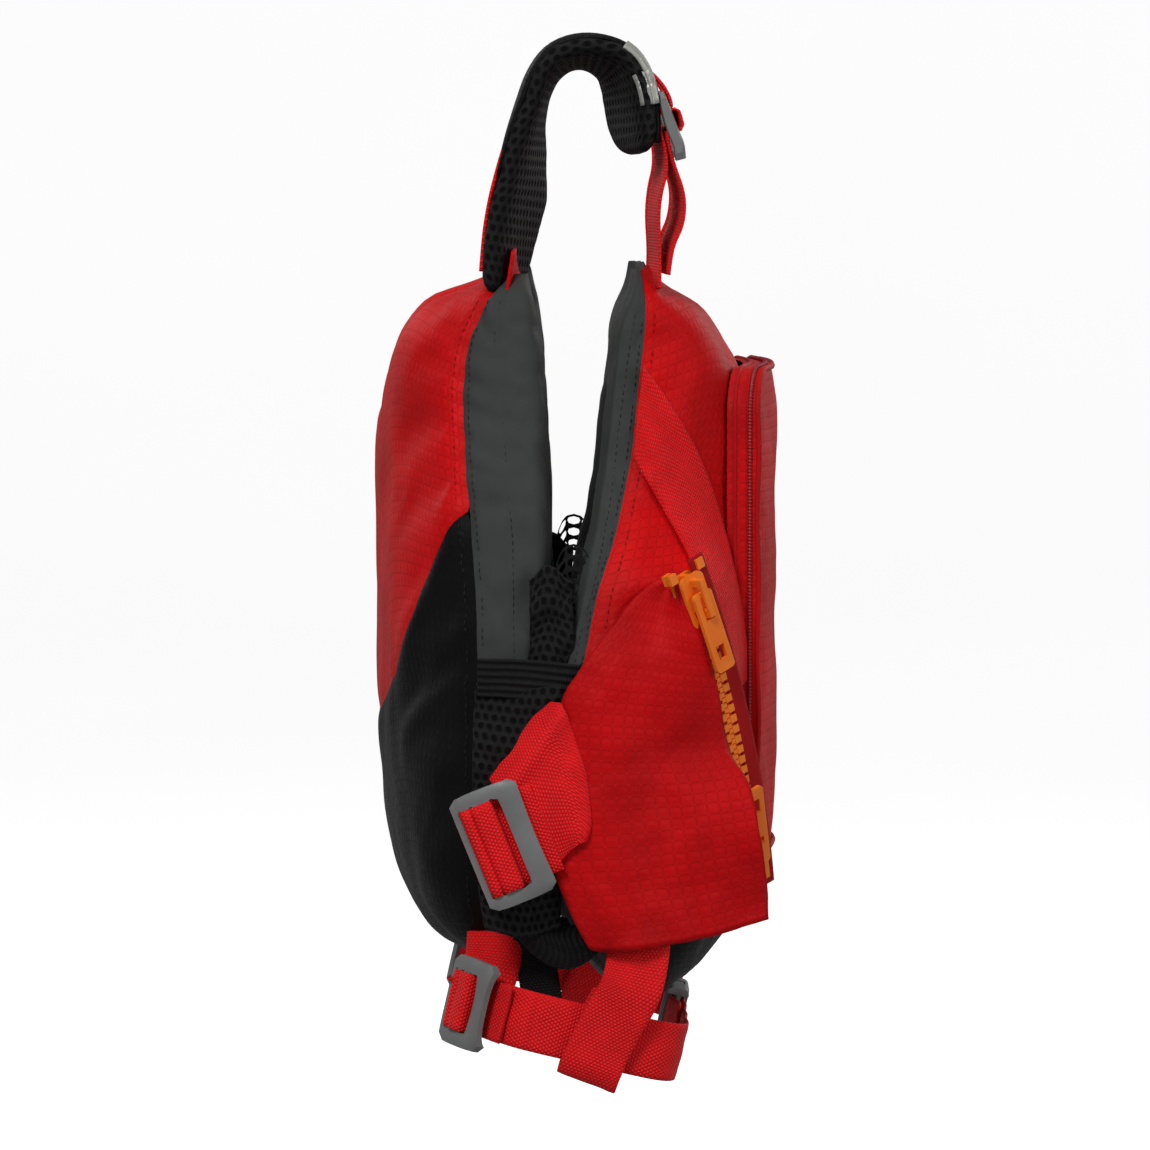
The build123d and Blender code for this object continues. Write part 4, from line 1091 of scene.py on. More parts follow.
def ring_tube(name, ring, r, mat, sides=8, modulate=None):
    """A closed tube along a ring of points."""
    ring = np.asarray(ring)
    t = unit(np.roll(ring, -1, axis=0) - np.roll(ring, 1, axis=0))
    side = unit(np.cross(t, (0, 1, 0)))
    up = np.cross(side, t)
    s = arc_lengths(ring)
    rad = np.full(len(ring), r) if modulate is None else r * modulate(s)
    a = np.linspace(0, 2 * math.pi, sides, endpoint=False)
    round_it = side[:, None] * np.cos(a)[None, :, None] + up[:, None] * np.sin(a)[None, :, None]
    v = ring[:, None] + rad[:, None, None] * round_it
    faces = []
    n = len(ring)
    for i in range(n):
        for j in range(sides):
            faces.append((i * sides + j, i * sides + (j + 1) % sides,
                          ((i + 1) % n) * sides + (j + 1) % sides, ((i + 1) % n) * sides + j))
    uv = np.stack([np.tile(a * r / 1000, n), np.repeat(s / 1000, sides)], axis=1)
    return fix_normals(mesh_object(name, v.reshape(-1, 3), faces, mat, uv))


def pocket_cover():
    """The pocket's front, crowned, with soft creases near its edge."""
    nu, nv = 46, 56
    u, v = np.meshgrid(np.linspace(-1, 1, nu), np.linspace(1, -1, nv))
    x, z = u * POCKET_X, v * POCKET_Z
    cx, cz = POCKET_X - POCKET_R, POCKET_Z - POCKET_R
    dx, dz = np.abs(x) - cx, np.abs(z) - cz
    corner = (dx > 0) & (dz > 0)
    length = np.hypot(dx, dz) + 1e-9
    m = np.maximum(dx, dz)
    x = np.where(corner, np.sign(x) * (cx + dx / length * m), x)
    z = np.where(corner, np.sign(z) * (cz + dz / length * m), z)
    near = np.minimum(1 - np.abs(u), (1 - np.abs(v)) * POCKET_Z / POCKET_X)
    depth = 9.2 + 1.7 * (1 - np.exp(-near / 0.10)) + 0.6 * (1 - u**2) * (1 - v**2)
    g = np.stack([x, front_arc(x, depth), z + POCKET_MID], axis=2)
    g[:, :, 1] += rumple(g, 0.022, 31, 3) * 1.5 * np.minimum(1, near * 6)
    g[:, :, 1] += 0.7 * np.sin(arc_lengths(g[:, 0])[:, None] / 3.0) * np.exp(-(1 - np.abs(u)) / 0.05)
    return g


pocket_g = pocket_cover()
pocket_face = fix_normals(slab("pocket_front", pocket_g, "red", 1.4, out=-1))
subdivide(pocket_face, 1)
# how far the pocket's side stands outside the outline, and at what depth
GUSSET = ((0.6, -3.0), (0.9, 0.5), (1.1, 3.4), (0.5, 4.0), (0.4, 6.5), (0.5, 8.2), (1.0, 8.7), (0.6, 9.8), (-1.2, 9.6))
gusset = band("pocket_side", [pocket_ring(grow, depth) for grow, depth in GUSSET], "red_dark")
fix_normals(gusset)
subdivide(gusset, 1)
piping = ring_tube("pocket_piping", pocket_ring(0.2, 9.9), 1.3, "binding")
foot = ring_tube("pocket_foot", pocket_ring(1.0, 0.4), 0.9, "binding")
coil_ring = pocket_line(0.9, 1900)
coil_ring = np.stack([coil_ring[:, 0], front_arc(coil_ring[:, 0], 6.6), coil_ring[:, 1]], axis=1)
coil = ring_tube("pocket_coil", coil_ring, 1.15, "coil", 6, lambda s: 0.8 + 0.28 * np.sin(s * 2 * math.pi / 1.45))
for o, nodes, slot_name in ((pocket_face, ("pocket_face",), "red_ripstop"),
                            (gusset, ("pocket_gusset",), "red_ripstop"),
                            (piping, (), "red_ripstop"), (foot, (), "red_ripstop"),
                            (coil, ("pocket_zip",), "zip_cloth")):
    if nodes:
        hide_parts(*nodes)
    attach(o, "vest")


# ------------------------------------------------------------------ shoulder pads
STRAP_X = -76.0
PAD_LINE = [(32.5, -95), (30.3, -86.5), (28.4, -78.4), (26.2, -67.3), (23.0, -51.0), (21.6, -37.4), (20.1, -25.4),
            (17.5, -13.5), (13.7, -3.2), (7.7, 4.4), (0.4, 7.6), (-9.0, 7.0), (-17.5, 2.3), (-21.8, -5.4),
            (-24.1, -16.0), (-25.6, -26.3), (-27.7, -35.1)]
PAD_TWIST = [4.5, 6.5, 7.5, 8.2, 8.4, 6.4, 4.0, 1.8, 1.6, 2.4, 3.0, 4.6, 7.0, 7.8, 8.0, 7.0, 4]
PAD_HALF = 23.0
pad_rows = 84
pad_c = smooth_line([(y, z, k) for (y, z), k in zip(PAD_LINE, PAD_TWIST)], pad_rows)
pad_twist = pad_c[:, 2]
pad_c = np.stack([np.full(pad_rows, STRAP_X), pad_c[:, 0], pad_c[:, 1]], axis=1)
pad_t = unit(np.gradient(pad_c, axis=0))
pad_n = np.cross(pad_t, (-1, 0, 0))
pad_n *= math.copysign(1, pad_n[pad_rows // 2, 2])
pad_s = arc_lengths(pad_c)


def pad_point(i, x, h):
    """Row i, x from -1 at the outer edge of the shoulder to 1 at the neck, h above the pad's middle."""
    return pad_c[i] + np.array([x * PAD_HALF, 0, 0]) - pad_n[i] * pad_twist[i] * x + pad_n[i] * h


sides = 44
pad_loops, pad_uv = [], []
for i in range(pad_rows):
    to_end = min(pad_s[i], pad_s[-1] - pad_s[i])
    close = math.sqrt(max(0.02, 1 - (1 - min(1, to_end / 7.5)) ** 2))
    wide = 0.72 + 0.28 * close
    row, ruv, run = [], [], 0.0
    for j in range(sides):
        a = 2 * math.pi * j / sides
        x = math.copysign(abs(math.cos(a)) ** 0.5, math.cos(a)) * wide
        h = math.copysign(abs(math.sin(a)) ** 0.75, math.sin(a)) * 5.0 * close
        q = pad_point(i, x, h)
        lump = noise.fractal(Vector(q) * 0.05 + Vector((3, 1, 7)), 0.9, 2.0, 3) * 1.2
        lump += 0.35 * math.sin(pad_s[i] * 0.9) * abs(math.cos(a)) ** 6
        row.append(q + pad_n[i] * lump * 0.8 + np.array([-1, 0, 0]) * 0.4 * lump)
        if row[-2:-1]:
            run += float(np.linalg.norm(row[-1] - row[-2]))
        ruv.append((run / 1000, pad_s[i] / 1000))
    pad_loops.append(row)
    pad_uv.append(ruv)
pad = fix_normals(closed_loops("pad", pad_loops, "mesh", pad_uv))
subdivide(pad, 1)
pads = on_both(pad, ("shoulder_pad",))


def on_pad(name, first, last, x_from, x_to, height, mat, thick=1.2, cols=14, bulge=0.0):
    """A layer on the outer face of the pad, between two shares of its length."""
    ids = np.linspace(first, last, 50) * (pad_rows - 1)
    g = []
    for f in ids:
        i = int(min(pad_rows - 2, math.floor(f)))
        w = f - i
        row = []
        for x in np.linspace(x_from, x_to, cols):
            h = height + 4.7 * max(0.0, 1 - abs(x) ** 4) ** 0.5 - 1.4 * abs(x) ** 3
            h += bulge * math.sin(math.pi * (f - ids[0]) / (ids[-1] - ids[0]))
            row.append(pad_point(i, x, h) * (1 - w) + pad_point(i + 1, x, h) * w)
        g.append(row)
    return fix_normals(slab(name, np.array(g), mat, thick))


cover = on_pad("cover", 0.30, 0.98, -0.93, 0.93, 1.3, "black")
on_both(cover, ("shoulder_cover",))
strip = on_pad("strap_red", 0.05, 0.36, -0.86, 0.75, 1.0, "webbing", 1.5, 14, 1.1)
on_both(strip, ())
silver = on_pad("band", 0.755, 0.88, -1.0, 0.95, 2.4, "silver", 0.9)
lip = []
for f in np.linspace(0.815, 0.88, 8):
    i = int(f * (pad_rows - 1))
    lip.append([pad_point(i, -1.03 + 0.02 * k, h) for k, h in enumerate((3.6, 1.8, 0.0, -2.2, -3.8))])
lip = fix_normals(slab("band_lip", np.array(lip), "silver", 0.8))
silver = join("band", silver, lip)
on_both(silver, ("reflective_band",))
flap = coons([(-97, 27, -76), (-60, 25, -73)], [(-96, 31, -101), (-60, 21, -99)],
             [(-97, 27, -76), (-96, 31, -101)], [(-60, 25, -73), (-60, 21, -99)], 14, 14)
flap = fix_normals(slab("strap_root", flap, "red", 1.4))
on_both(flap, ())


# ------------------------------------------------------------------ webbing through the locks
def corners(points, reach):
    """A line with its corners rounded off, each starting reach mm before it."""
    p = [np.asarray(q, float) for q in points]
    r = reach if hasattr(reach, "__len__") else [reach] * len(p)
    out = [p[0]]
    for i in range(1, len(p) - 1):
        a, b, c = p[i - 1 : i + 2]
        la, lc = np.linalg.norm(a - b), np.linalg.norm(c - b)
        start = b + (a - b) / la * min(r[i], la * 0.48)
        stop = b + (c - b) / lc * min(r[i], lc * 0.48)
        for t in np.linspace(0, 1, 7):
            out.append(start * (1 - t) ** 2 + 2 * b * t * (1 - t) + stop * t * t)
    out.append(p[-1])
    return np.array(out)


def evenly(line, step):
    s = arc_lengths(line)
    at = np.linspace(0, s[-1], max(4, int(s[-1] / step)))
    return np.stack([np.interp(at, s, line[:, k]) for k in range(3)], axis=1)


def strap(name, line, hint, width, mat="webbing", thick=1.5, step=1.3, wave=0.0, seed=1, hints=None, cut=None):
    """Webbing along a line that already has its corners; cut is a length at which it is made as two pieces."""
    line = evenly(np.asarray(line, float), step)
    count = len(line)
    s = arc_lengths(line)
    if hints is None:
        h = np.tile(np.asarray(hint, float), (count, 1))
    else:
        keys = np.array([k for k, _ in hints]) * s[-1]
        vals = np.array([v for _, v in hints], float)
        h = np.stack([np.interp(s, keys, vals[:, k]) for k in range(3)], axis=1)
    t, side, nrm = frames(line, h)
    xs = np.linspace(-1, 1, 12)
    prof = [(x, 1) for x in xs] + [(1.0, 0.0)] + [(x, -1) for x in xs[::-1]] + [(-1.0, 0.0)]
    loops, uvs = [], []
    e = thick / 2
    for i in range(count):
        row, ruv = [], []
        for x, z in prof:
            lift = wave * noise.noise(Vector((x * 1.2 + seed, s[i] * 0.05, seed * 9.1)))
            edge = 0.3 * e if abs(x) == 1 and z else 0.0
            across = x * width / 2 + (0.3 * x if z == 0 else 0)
            row.append(line[i] + side[i] * across + nrm[i] * (z * (e - edge) + lift))
            ruv.append((x * width / 2000 + (0.001 if z < 0 else 0), s[i] / 1000))
        loops.append(row)
        uvs.append(ruv)
    if cut is None:
        return fix_normals(closed_loops(name, loops, mat, uvs))
    k = int(np.searchsorted(s, cut))
    return (fix_normals(closed_loops(name + "_a", loops[: k + 1], mat, uvs[: k + 1])),
            fix_normals(closed_loops(name + "_b", loops[k:], mat, uvs[k:])))


class Lock:
    """A ladder lock's frame: u runs from its rim to its lever, y along its bars, w out of its face."""

    def __init__(self, at, u, w):
        self.at = np.asarray(at, float)
        self.u = unit(np.asarray(u, float))
        self.w = unit(np.asarray(w, float) - np.dot(w, self.u) * self.u)
        self.y = np.cross(self.w, self.u)

    def point(self, u, w, y=0.0):
        return self.at + self.u * u + self.w * w + self.y * y

    def line(self, points):
        return [self.point(u, w) for u, w in points]


def lock_mesh(name, lock, half, rail, mat, lever=3.0):
    """A moulded ladder lock: rim, anchor bar, middle bar and lever between two thick rails."""
    us = [-15.0, -12.4, -11.0, -8.4, -5.2, -0.9, 5.6, 9.8, 15.0]
    top = [0.9, 1.3, 1.7, 1.9, 2.3, 2.7, 3.4, 4.0, 2.4]
    low = [-1.2, -1.6, -2.0, -2.2, -2.4, -2.4, -1.6, -0.6, -1.6]
    ys = [-(half + rail), -(half + rail * 0.5), -half, -half * 0.34, half * 0.34, half, half + rail * 0.5, half + rail]
    solid = {0, 2, 4, 6, 7}
    bm = bmesh.new()
    grid = {}
    for i, u in enumerate(us):
        for j, y in enumerate(ys):
            rails = j in (0, 1, 6, 7)
            uu, yy = u, y
            if j in (0, 7):
                uu = u * (0.80 if i in (0, 8) else 0.97)
                yy = y * (1.0 if 2 < i < 7 else 0.985)
            if not rails:
                t_top = {0: 1.1, 1: 1.3, 2: 1.5, 3: 1.5, 4: 1.5, 5: 1.5, 6: 2.2, 7: 3.6, 8: lever}[i]
                t_low = {0: -1.1, 1: -1.2, 2: -1.5, 3: -1.5, 4: -2.0, 5: -2.0, 6: -0.4, 7: 0.6, 8: lever - 2.8}[i]
                if i == 8:
                    uu = u - (0.7 if j in (3, 4) else 0)
            else:
                k = 0.72 if j in (0, 7) else 1.0
                t_top, t_low = top[i] * k, low[i] * k
            if j in (2, 5) and 0 < i < 8:
                t_top, t_low = top[i] * 0.95, low[i] * 0.95
            for side, w in ((0, t_top), (1, t_low)):
                grid[i, j, side] = bm.verts.new([c / 1000 for c in lock.point(uu, w, yy)])
    cells = set()
    for i in range(len(us) - 1):
        for j in range(len(ys) - 1):
            if j in (0, 1, 5, 6) or i in solid:
                cells.add((i, j))
    for i, j in cells:
        for side in (0, 1):
            q = [grid[i, j, side], grid[i + 1, j, side], grid[i + 1, j + 1, side], grid[i, j + 1, side]]
            bm.faces.new(q if side == 0 else q[::-1])
        for (di, dj), (a, b) in (((-1, 0), ((0, 0), (0, 1))), ((1, 0), ((1, 0), (1, 1))),
                                 ((0, -1), ((0, 0), (1, 0))), ((0, 1), ((0, 1), (1, 1)))):
            if (i + di, j + dj) not in cells:
                v = [grid[i + a[0], j + a[1], 0], grid[i + b[0], j + b[1], 0],
                     grid[i + b[0], j + b[1], 1], grid[i + a[0], j + a[1], 1]]
                bm.faces.new(v)
    bmesh.ops.delete(bm, geom=[v for v in bm.verts if not v.link_faces], context="VERTS")
    bmesh.ops.recalc_face_normals(bm, faces=bm.faces)
    me = bpy.data.meshes.new(name)
    bm.to_mesh(me)
    bm.free()
    me.shade_smooth()
    me.materials.append(M[mat])
    o = bpy.data.objects.new(name, me)
    bpy.context.scene.collection.objects.link(o)
    bevel(o, 0.55, 2, 28)
    subdivide(o, 1)
    return o


def side_point(p, side):
    """A point in metres from one in mm on the wearer's right, mirrored for the left."""
    return tuple(np.array(p) / 1000 * np.array([1 if side == "right" else -1, 1, 1]))


def hinged(o, nodes, body, vest_end=None, lock_end=None):
    """A piece and its mirror image that ride on a lock, or, when vest_end is given, keep their place with their
    transform baked into the mesh.
    """
    pair = two(o, nodes)
    for piece, side in zip(pair, ("right", "left")):
        if vest_end is None:
            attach(piece, f"{body}_{side}")
        else:
            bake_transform(piece)


THREAD = [(1.6, -4.0), (1.6, 3.4), (-6.6, 3.4), (-6.6, -6.2)]

# shoulder
shoulder = Lock((STRAP_X, -40.5, -23), (0, -0.26, -0.966), (0, -0.966, 0.26))
hinged(lock_mesh("shoulder_frame", shoulder, 18.6, 4.2, "plastic"), ("shoulder_lock",), "shoulder_lock")
SP = shoulder.point
loose = [(STRAP_X, -34.0, -92), (STRAP_X, -34.4, -78), (STRAP_X, -33.4, -55), SP(14, -6.4), SP(-6.6, -6.2),
         SP(-6.6, 3.4), SP(1.6, 3.4), SP(1.6, -4.2), SP(15, -4.6), (STRAP_X, -44.6, -52), (STRAP_X, -44.0, -64),
         (STRAP_X, -39.6, -73), (STRAP_X, -38.0, -86)]
line = corners(loose, [0, 8, 12, 9, 1.8, 1.8, 1.8, 1.8, 6, 7, 6, 5, 0])
o = strap("shoulder_strap", line, (1, 0.12, 0.02), 37, wave=0.5, seed=4)
hinged(o, ("shoulder_webbing",), "shoulder_lock", (STRAP_X, -36, -58), (STRAP_X, -41, -35))
turn = [SP(-26, -6.6), SP(-19, -2.6), SP(-11.5, -2.8), SP(-6.9, -2.5), SP(-6.9, 2.6), SP(-11.5, 2.9), SP(-17, 1.6),
        SP(-22, -0.8), SP(-27, -4.2)]
turn = corners(turn, [0, 2, 2, 1.9, 1.9, 2, 2, 2, 0])
o = strap("shoulder_root", turn, (1, 0, 0), 37, step=1.0)
hinged(o, ("shoulder_anchor",), "shoulder_lock", SP(-22, 0), SP(-13, 0))

# side
side_lock = Lock((-158, 30.2, -323.3), (0, -0.926, 0.378), (-1, 0, 0))
hinged(lock_mesh("side_frame", side_lock, 19.8, 5.6, "plastic"), ("side_lock",), "side_lock")
LP = side_lock.point
thread = [LP(20, -4.0), *side_lock.line(THREAD), LP(16, -6.4)]
thread = corners(thread, [0, 1.8, 1.8, 1.8, 1.8, 0])
o = strap("side_loop", thread, side_lock.y, 38.5, step=1.0)
hinged(o, (), "side_lock")
turn = [LP(-13.0, -20), LP(-13.0, -6), LP(-11.5, -3.4), LP(-7.4, -2.6), LP(-7.4, 2.7), LP(-11.2, 2.7),
        LP(-11.9, -0.2), LP(-14.6, -4.6), LP(-15.2, -20)]
turn = corners(turn, [0, 3, 2, 1.9, 1.9, 1.4, 1.4, 3, 0])
o = strap("side_root", turn, side_lock.y, 38.5, step=1.0)
hinged(o, ("side_anchor",), "side_lock", LP(-19, -9), LP(-11, 0))

# the load strap: from the lock up over the wing, turned over on itself at its upper corner
wing_tree = tree_of(wing_right)
S_TOP = [(35.7, -297), (26, -281.5), (17.2, -266.7), (12.6, -264.4), (5.4, -265.1)]
S_RIGHT = [(5.4, -265.1), (0.7, -279.0), (-3.9, -293.4), (-5.4, -304.7), (-5.9, -316.0), (-3.9, -322.1)]
S_LOW = [(10.0, -335.5), (3.3, -327.8), (-3.9, -322.1)]
S_LEFT = [(35.7, -297), (29.0, -307), (20.5, -321), (10.0, -335.5)]
rows, cols = 40, 34
yz = coons(S_TOP, S_LOW, S_LEFT, S_RIGHT, rows, cols)
wing_x = on_skin(yz, 2.0, 6, wing_tree, -148.0)[:, :, 0]
u = np.linspace(0, 1, cols)[None]
v = np.linspace(0, 1, rows)[:, None]
x = -151.6 * (1 - u) + np.minimum(wing_x, -150.5) * u
crease_a, crease_b = np.array([4.4, -267]), np.array([29.5, -302.5])
d = unit(crease_b - crease_a)
across_crease = (yz - crease_a) @ np.array([d[1], -d[0]])
across_crease *= math.copysign(1, ((np.array([20, -268]) - crease_a) @ np.array([d[1], -d[0]])))
x += 1.7 * np.log1p(np.exp(np.clip(across_crease / 1.0, -30, 30))) * 0.62
x -= 1.3 * np.exp(-((across_crease / 3.2) ** 2))
x -= 1.6 * np.sin(math.pi * np.clip((v - 0.35) / 0.65, 0, 1)) * np.sin(math.pi * u)
x += 2.2 * np.exp(-(1 - u) / 0.03)
load_g = np.concatenate([x[..., None], yz], axis=2)
load_g[:, :, 0] -= rumple(load_g, 0.06, 41, 2) * 0.35
s_run = np.stack([arc_lengths(load_g[r]) for r in range(rows)]) / 1000
s_across = np.stack([arc_lengths(load_g[:, c]) for c in range(cols)], axis=1) / 1000
load_uv = np.stack([s_across * 0.62 + s_run * 0.55, s_run * 0.83 - s_across * 0.5], axis=2)
o = fix_normals(slab("side_strap", load_g, "webbing", 1.5, load_uv))
subdivide(o, 1)
hinged(o, ("side_webbing",), "side_lock", (-151, 2, -308), (-151, 21, -316))

# waist
BELT_Z = -404.0
drop = math.radians(13)
bz = np.array([0, -math.sin(drop), math.cos(drop)])
by = np.array([0, math.cos(drop), math.sin(drop)])


def belt(x, y):
    """A point in the waist belt's plane, which drops towards the front."""
    return np.array([x, 0, 0]) + np.array([0, 0, BELT_Z]) + by * y


def belt_dir(x, y):
    return np.array([x, 0, 0]) + by * y


waist = Lock(belt(-122, 46), belt_dir(-0.8, -0.6), belt_dir(-0.6, 0.8))
hinged(lock_mesh("waist_frame", waist, 12.8, 6.2, "plastic", 4.0), ("waist_lock",), "waist_lock")
WP = waist.point
turn = [(-113, 33.5, -364), (-115, 34.0, -374), (-117.5, 37.0, -384), WP(-10.5, -4.6), WP(-7.2, -2.5), WP(-7.2, 2.6),
        WP(-11.2, 2.6), WP(-11.6, -1.2), WP(-11.5, -5.8), (-116.5, 37.5, -386), (-114, 34.6, -376), (-112, 34, -364)]
turn = corners(turn, [0, 5, 5, 3, 1.9, 1.9, 1.4, 1.4, 3, 5, 5, 0])
o = strap("waist_root", turn, bz, 24.0, step=1.0,
          hints=[(0, (0.3, 1, 0)), (0.12, (0.3, 1, 0.1)), (0.36, bz), (0.62, bz), (0.88, (0.3, 1, 0.1)),
                 (1, (0.3, 1, 0))])
hinged(o, ("waist_tab",), "waist_lock", WP(-22, 0), WP(-13, 0))

BELT_X = -139.5


def waist_belt(bar_x):
    """One half of the waist belt: through its lock, round the side and in a loop round the buckle's bar."""
    head = [WP(21, -4.4), WP(10, -4.2), WP(1.6, -4.0), WP(1.6, 3.4), WP(-6.6, 3.4), WP(-6.6, -6.2), WP(4, -6.6),
            WP(22, -7.4), belt(BELT_X + 0.6, 14), belt(BELT_X + 0.4, -20), belt(BELT_X + 1.5, -37),
            belt(BELT_X + 13, -45.9), belt(bar_x, -45.9), belt(bar_x + 3.0, -45.5), belt(bar_x + 3.0, -40.4),
            belt(bar_x, -40.1), belt(bar_x - 8, -41.0), belt(bar_x - 16, -43.4), belt(bar_x - 36, -43.8)]
    line = corners(head, [0, 3, 1.8, 1.8, 1.8, 1.8, 2.5, 10, 9, 12, 8, 8, 3, 2.4, 2.4, 3, 4, 6, 0])
    return strap("waist_belt", line, bz, 24.5, step=1.5, wave=0.9, seed=7, cut=78)


right_lock, right_run = waist_belt(-20.0)
left_lock, left_run = waist_belt(-24.5)
for o, side, name in ((right_lock, "right", "waist_strap_lock"), (right_run, "right", "waist_strap"),
                      (left_lock, "left", "waist_strap_lock"), (left_run, "left", "waist_strap")):
    o.name = f"{name}_{side}"
    if side == "left":
        o.data.transform(Matrix.Scale(-1, 4, (1, 0, 0)))
        o.data.flip_normals()
    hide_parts("waist_belt_" + side)
    if "lock" in name:
        side_point(WP(8, -3), side)
        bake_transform(o)
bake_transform(right_run)
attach(left_run, "vest")

# the hem's keeper, a loop round the belt at each side
keep = [(-143.6, -27, -358), (-144.2, -26.8, -369), (-147.0, -23.5, -385), (-145.2, -16.8, -397.5), (-143.9, -11, -409),
        (-143.3, -6.5, -419.5), (-139.6, -4.6, -425.0), (-135.7, -6.2, -419.5), (-135.6, -10.6, -409),
        (-136.8, -15.6, -398), (-141.0, -19.5, -390.5)]
keep_line = smooth_line(keep, 90)
o = strap("keeper", keep_line, (0, 1, 0), 25.5, wave=0.5, seed=12, step=1.2,
          hints=[(0, (0, 1, 0.02)), (0.2, (0.0, 1, 0.1)), (0.34, (0.05, 0.95, 0.42)), (0.5, (0, 0.92, 0.36)),
                 (1, (0, 0.94, 0.34))])
rows_k = stitches("keeper_rows", np.array([(-147.3, -36, -389), (-146.4, -24.5, -386.6), (-145.8, -12, -384.2)]),
                  (-1, 0, 0), lift=0.3)
on_both(join("keeper", o, rows_k), ("keeper_loop",))


# ------------------------------------------------------------------ side mesh and elastic
def crumpled(yz, x, amount, scale, seed):
    g = np.concatenate([np.full(yz.shape[:2] + (1,), x), yz], axis=2)
    g[:, :, 0] -= rumple(g, scale, seed, 3) * amount
    return g


mesh_yz = coons([(42, -256), (24, -258), (4, -258)], [(38, -360), (22, -364), (6, -360)],
                [(42, -256), (43, -300), (41, -340), (38, -360)], [(4, -258), (5, -300), (6, -340), (6, -360)], 46, 20)
mesh_g = crumpled(mesh_yz, -141.2, 3.2, 0.05, 51)
side_mesh = fix_normals(slab("mesh_side", mesh_g, "mesh", 2.2))
subdivide(side_mesh, 1)
elastic_yz = coons([(41, -246), (22, -246.5), (-4, -249)], [(41, -262), (22, -263), (-2, -266)],
                   [(41, -246), (41, -262)], [(-4, -249), (-2, -266)], 16, 30)
elastic_g = crumpled(elastic_yz, -142.6, 0.8, 0.05, 53)
elastic = fix_normals(slab("elastic_side", elastic_g, "elastic", 1.6))
roll = []
for k, f in enumerate(np.linspace(0, 1, 34)):
    cy, cz = 25 - 37 * f, -356 - 14 * math.sin(f * 2.2) + 3 * f
    row = []
    for a in np.linspace(0, 2 * math.pi, 25)[:-1]:
        r = (9.5 * math.sin(math.pi * (0.12 + 0.82 * f)) ** 0.6 + 2) * (1 + 0.05 * math.sin(a * 9))
        row.append((-133 - 0.72 * r * math.cos(a), cy + 1.5 * math.sin(a * 3), cz + r * 0.95 * math.sin(a)))
    roll.append(row)
s_roll = np.linspace(0, 0.045, 34)
roll_uv = [[(j * 0.0025, s) for j in range(24)] for s in s_roll]
roll = fix_normals(closed_loops("elastic_roll", roll, "elastic", roll_uv))
subdivide(roll, 1)
hang = strap("hanging_tab", corners([(-118, 20, -352), (-119, 17, -372), (-121, 14, -393)], 8), (0.25, 1, 0.1), 17,
             "black_webbing", wave=1.2, seed=17)
pair = on_both(side_mesh, ("side_mesh",))
on_both(elastic, ("waist_elastic",))
for one in on_both(roll, ()):
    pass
on_both(hang, ())


def net(name, g, border):
    """An open net made from a grid: every cell keeps a border and loses its middle."""
    rows, cols, _ = g.shape
    bm = bmesh.new()
    verts = [bm.verts.new(p / 1000) for p in g.reshape(-1, 3)]
    for f in grid_faces(rows, cols):
        bm.faces.new([verts[i] for i in f])
    inner = bmesh.ops.inset_individual(bm, faces=bm.faces[:], thickness=border / 1000, use_even_offset=True)
    ring = set(inner["faces"])
    bmesh.ops.delete(bm, geom=[f for f in bm.faces if f not in ring], context="FACES")
    bmesh.ops.recalc_face_normals(bm, faces=bm.faces[:])
    me = bpy.data.meshes.new(name)
    bm.to_mesh(me)
    bm.free()
    me.materials.append(M["black_webbing"])
    o = bpy.data.objects.new(name, me)
    bpy.context.scene.collection.objects.link(o)
    m = o.modifiers.new("cord", "SOLIDIFY")
    m.thickness = 0.0012
    m.offset = 0
    return subdivide(o, 1)


upper_yz = coons([(19, -214), (13, -207.5), (8, -208.5), (3.5, -213), (1.5, -214)], [(19, -262), (9, -264), (0, -264)],
                 [(19, -214), (19, -240), (19, -262)], [(1.5, -214), (0.5, -240), (0, -264)], 26, 12)
upper_g = crumpled(upper_yz, -139.5, 3.5, 0.06, 61)
upper = fix_normals(slab("mesh_upper", upper_g, "mesh", 1.8))
low_yz = coons([(2, -225), (-3, -227), (-9, -226)], [(1, -264), (-4, -266), (-7, -268)], [(2, -225), (1, -264)],
               [(-9, -226), (-7, -268)], 20, 10)
lower_g = crumpled(low_yz, -132.0, 2.5, 0.06, 62)
lower = fix_normals(slab("mesh_upper_low", lower_g, "mesh", 1.8))
net_yz = coons([(9, -213), (6, -201), (1, -197.5), (-5, -201), (-8, -213)], [(8, -238), (0, -240), (-7, -239)],
               [(9, -213), (8, -238)], [(-8, -213), (-7, -239)], 9, 6)
side_net = net("side_net", crumpled(net_yz, -130, 2.5, 0.05, 63), 0.75)
nets = on_both(side_net, ())
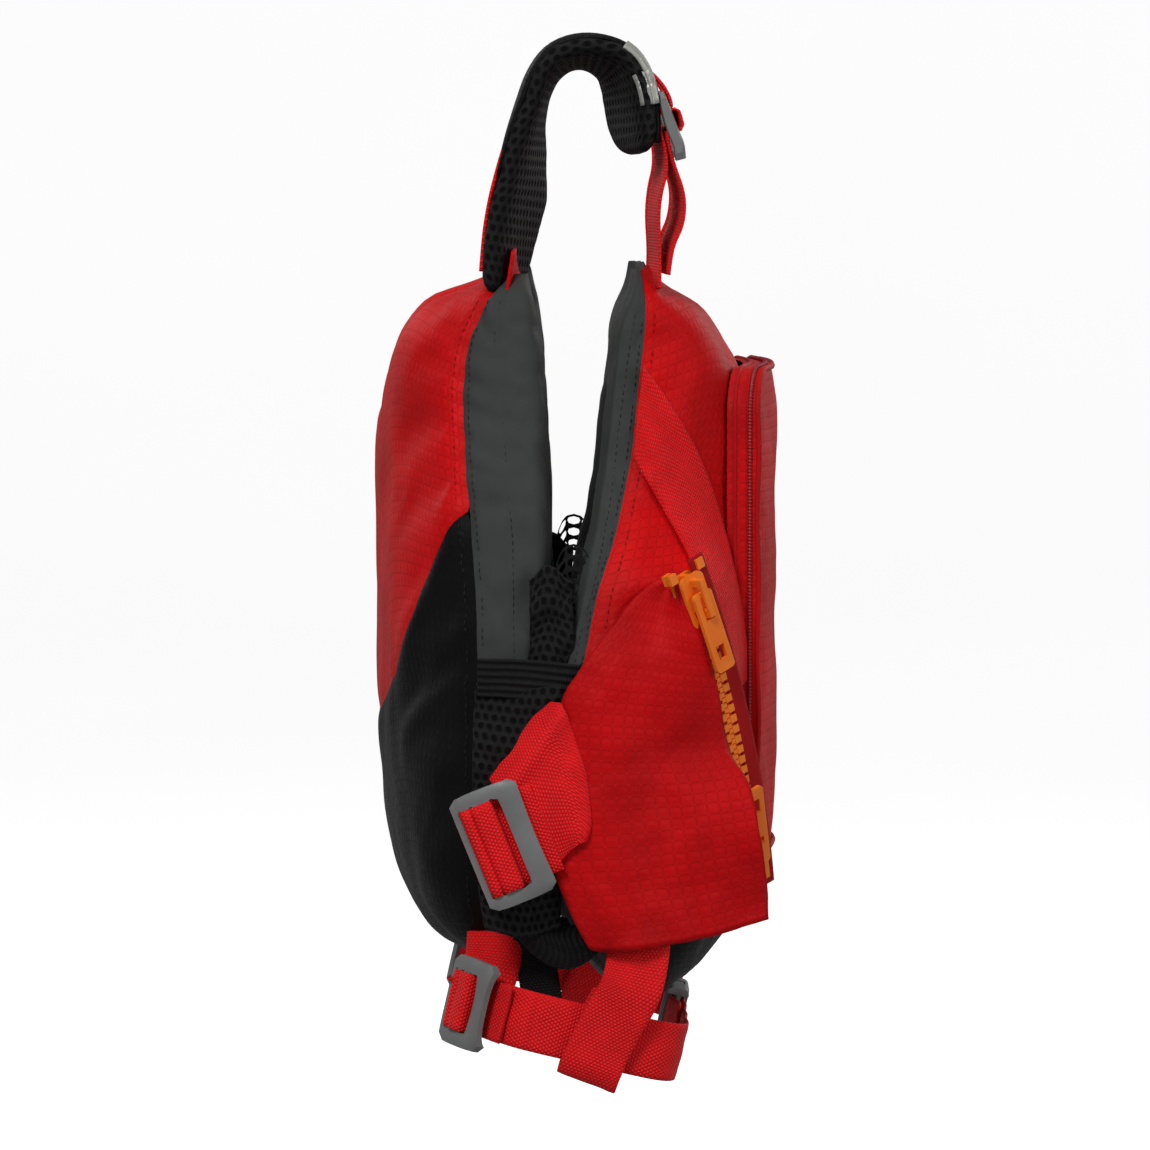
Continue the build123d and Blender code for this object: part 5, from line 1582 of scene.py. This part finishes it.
for one, grid_mm, pieces in ((upper, upper_g, None), (lower, lower_g, nets)):
    wide, tall = grid_size(grid_mm, len(grid_mm) // 2, grid_mm.shape[1] // 2)
    area_m = grid_area(grid_mm)
    wide = max(wide, area_m * SPARE_AREA / tall, SHEET_MIN)
    for k, half_piece in enumerate(on_both(one, ())):
        extra = {"with_pieces": [pieces[k]]} if pieces else {}


# ------------------------------------------------------------------ main zip and the moulded parts
for side, node in ((-1, "zip_tape_wing"), (1, "zip_tape_front")):
    g = np.array([[zip_point(s, side * x, 0.45) for x in np.linspace(3.4, 12.0 if side > 0 else 7.5, 8)]
                  for s in np.linspace(-5 if side > 0 else 5, 149, 90)])
    o = fix_normals(slab(node + "_cloth", g, "zip_cloth", 0.9))
    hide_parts(node)
    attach(o, "vest")

# material and bevel width (mm) of the moulded parts that stay as CAD solids
MOULDED = {
    "zip_teeth_wing": ("orange", 0.25), "zip_teeth_front": ("orange", 0.25), "zip_stops": ("orange", 0.4),
    "zip_slider_upper": ("orange", 0.5), "zip_slider_lower": ("orange", 0.5),
    "zip_pull_upper": ("orange", 0.45), "zip_pull_lower": ("orange", 0.45),
    "buckle_plug": ("plastic", 0.7), "buckle_prongs": ("plastic", 0.5), "buckle_socket": ("plastic", 0.7),
    "pocket_slider": ("dark_plastic", 0.3), "pocket_pull": ("dark_plastic", 0.3),
}
for node, (mat, wide) in MOULDED.items():
    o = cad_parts[node]
    o.data.materials.clear()
    o.data.materials.append(M[mat])
    bevel(o, wide, 3, 35)


# ------------------------------------------------------------------ floor
bowl_pts, bowl_faces = [], []
SPOKES, RINGS = 96, 60
profile = [(0.01, -600), (3200, -600), (4200, -560), (5000, -430), (5600, -150), (6000, 300), (6200, 900),
           (6300, 2600), (6300, 5200)]
profile = smooth_line(profile, RINGS)
for a in np.linspace(0, 2 * math.pi, SPOKES, endpoint=False):
    bowl_pts += [(r * math.cos(a), r * math.sin(a), z) for r, z in profile]
for i in range(SPOKES):
    for j in range(RINGS - 1):
        a, b = i * RINGS + j, ((i + 1) % SPOKES) * RINGS + j
        bowl_faces.append((a, b, b + 1, a + 1))
floor = mesh_object("floor", bowl_pts, bowl_faces, "floor", [(0, 0)] * len(bowl_pts))
for flag in ("visible_diffuse", "visible_glossy", "visible_shadow", "visible_transmission"):
    setattr(floor, flag, False)
